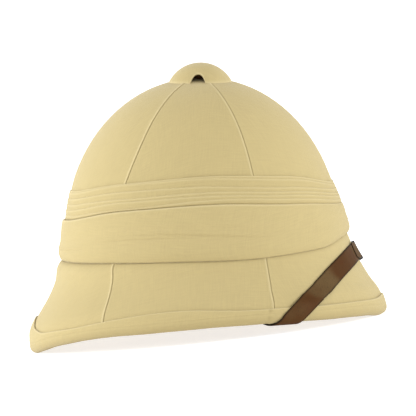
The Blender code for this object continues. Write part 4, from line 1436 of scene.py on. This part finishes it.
stageLook = {"floorColour": (0.55, 0.55, 0.55), "floorGlow": 0.70, "floorSize": 40.0, "skyStrength": 1.04,
             "lightColour": (0.94, 0.99, 1.10), "lightAim": (0, 0, 0.12)}
# Each light's spot, its two side lengths and its watts
softboxes = {
    "backSoftbox": ((-0.5, 2.6, 0.8), (1.6, 1.2), 71.0),
    "frontSoftbox": ((-0.7, -2.6, 0.6), (1.6, 1.2), 46.0),
    "farSoftbox": ((2.4, 0.3, 1.0), (1.6, 1.4), 14.0),
}


def makeStage(look):
    size = look["floorSize"]
    corners = np.array([(-size, -size, 0), (size, -size, 0), (size, size, 0), (-size, size, 0)], float)
    material, tree, shader = newMaterial("paleFloor", look["floorColour"])
    speck = addNode(tree, "ShaderNodeTexNoise", Scale=6.0, Detail=2.0)
    place = tree.nodes.new("ShaderNodeTexCoord")
    tree.links.new(place.outputs["Object"], speck.inputs["Vector"])
    pale = tuple(c * 0.99 for c in look["floorColour"])
    colour = mixColour(tree, speck.outputs["Fac"], look["floorColour"], pale)
    tree.links.new(colour, shader.inputs["Base Color"])
    shader.inputs["Roughness"].default_value = 0.9
    shader.inputs["Emission Color"].default_value = (1, 1, 1, 1)
    shader.inputs["Emission Strength"].default_value = look["floorGlow"]
    floor = meshObject("floor", corners, [[0, 1, 2, 3]], material)
    world = bpy.data.worlds.new("softRoom")
    world.use_nodes = True
    sky = world.node_tree.nodes["Background"]
    sky.inputs["Color"].default_value = (1.0, 1.0, 1.0, 1)
    sky.inputs["Strength"].default_value = look["skyStrength"]
    bpy.context.scene.world = world


def makeLight(name, spot, size, watts):
    light = bpy.data.lights.new(name, "AREA")
    light.shape = "RECTANGLE"
    light.size, light.size_y = size
    light.energy = watts
    light.color = stageLook["lightColour"]
    item = bpy.data.objects.new(name, light)
    facing = (Vector(spot) - Vector(stageLook["lightAim"])).to_track_quat("Z", "Y")
    item.matrix_world = Matrix.Translation(spot) @ facing.to_matrix().to_4x4()
    bpy.context.scene.collection.objects.link(item)


makeStage(stageLook)
for name, (spot, size, watts) in softboxes.items():
    makeLight(name, spot, size, watts)

cameraPlace = {"azimuth": -84.8, "elevation": 3.33, "roll": 6.68, "distance": 5.0, "width": 0.38276,
               "aim": (0, 0, 0.125), "aimRight": 0.01378, "aimUp": -0.01036}


def makeCamera(place):
    a, e, r = (math.radians(place[key]) for key in ("azimuth", "elevation", "roll"))
    back = Vector((math.sin(a) * math.cos(e), -math.cos(a) * math.cos(e), math.sin(e)))
    right = Vector((math.cos(a), math.sin(a), 0))
    up = back.cross(right)
    cameraRight = right * math.cos(r) - up * math.sin(r)
    cameraUp = right * math.sin(r) + up * math.cos(r)
    aim = Vector(place["aim"]) + cameraRight * place["aimRight"] + cameraUp * place["aimUp"]
    lens = bpy.data.cameras.new("photoView")
    lens.sensor_width = 36.0
    lens.lens = 36.0 * place["distance"] / place["width"]
    item = bpy.data.objects.new("photoView", lens)
    turn = Matrix((cameraRight, cameraUp, back)).transposed().to_4x4()
    item.matrix_world = Matrix.Translation(aim + back * place["distance"]) @ turn
    bpy.context.scene.collection.objects.link(item)
    bpy.context.scene.camera = item


makeCamera(cameraPlace)
bpy.context.scene.view_settings.view_transform = "Standard"
print("stage ready")
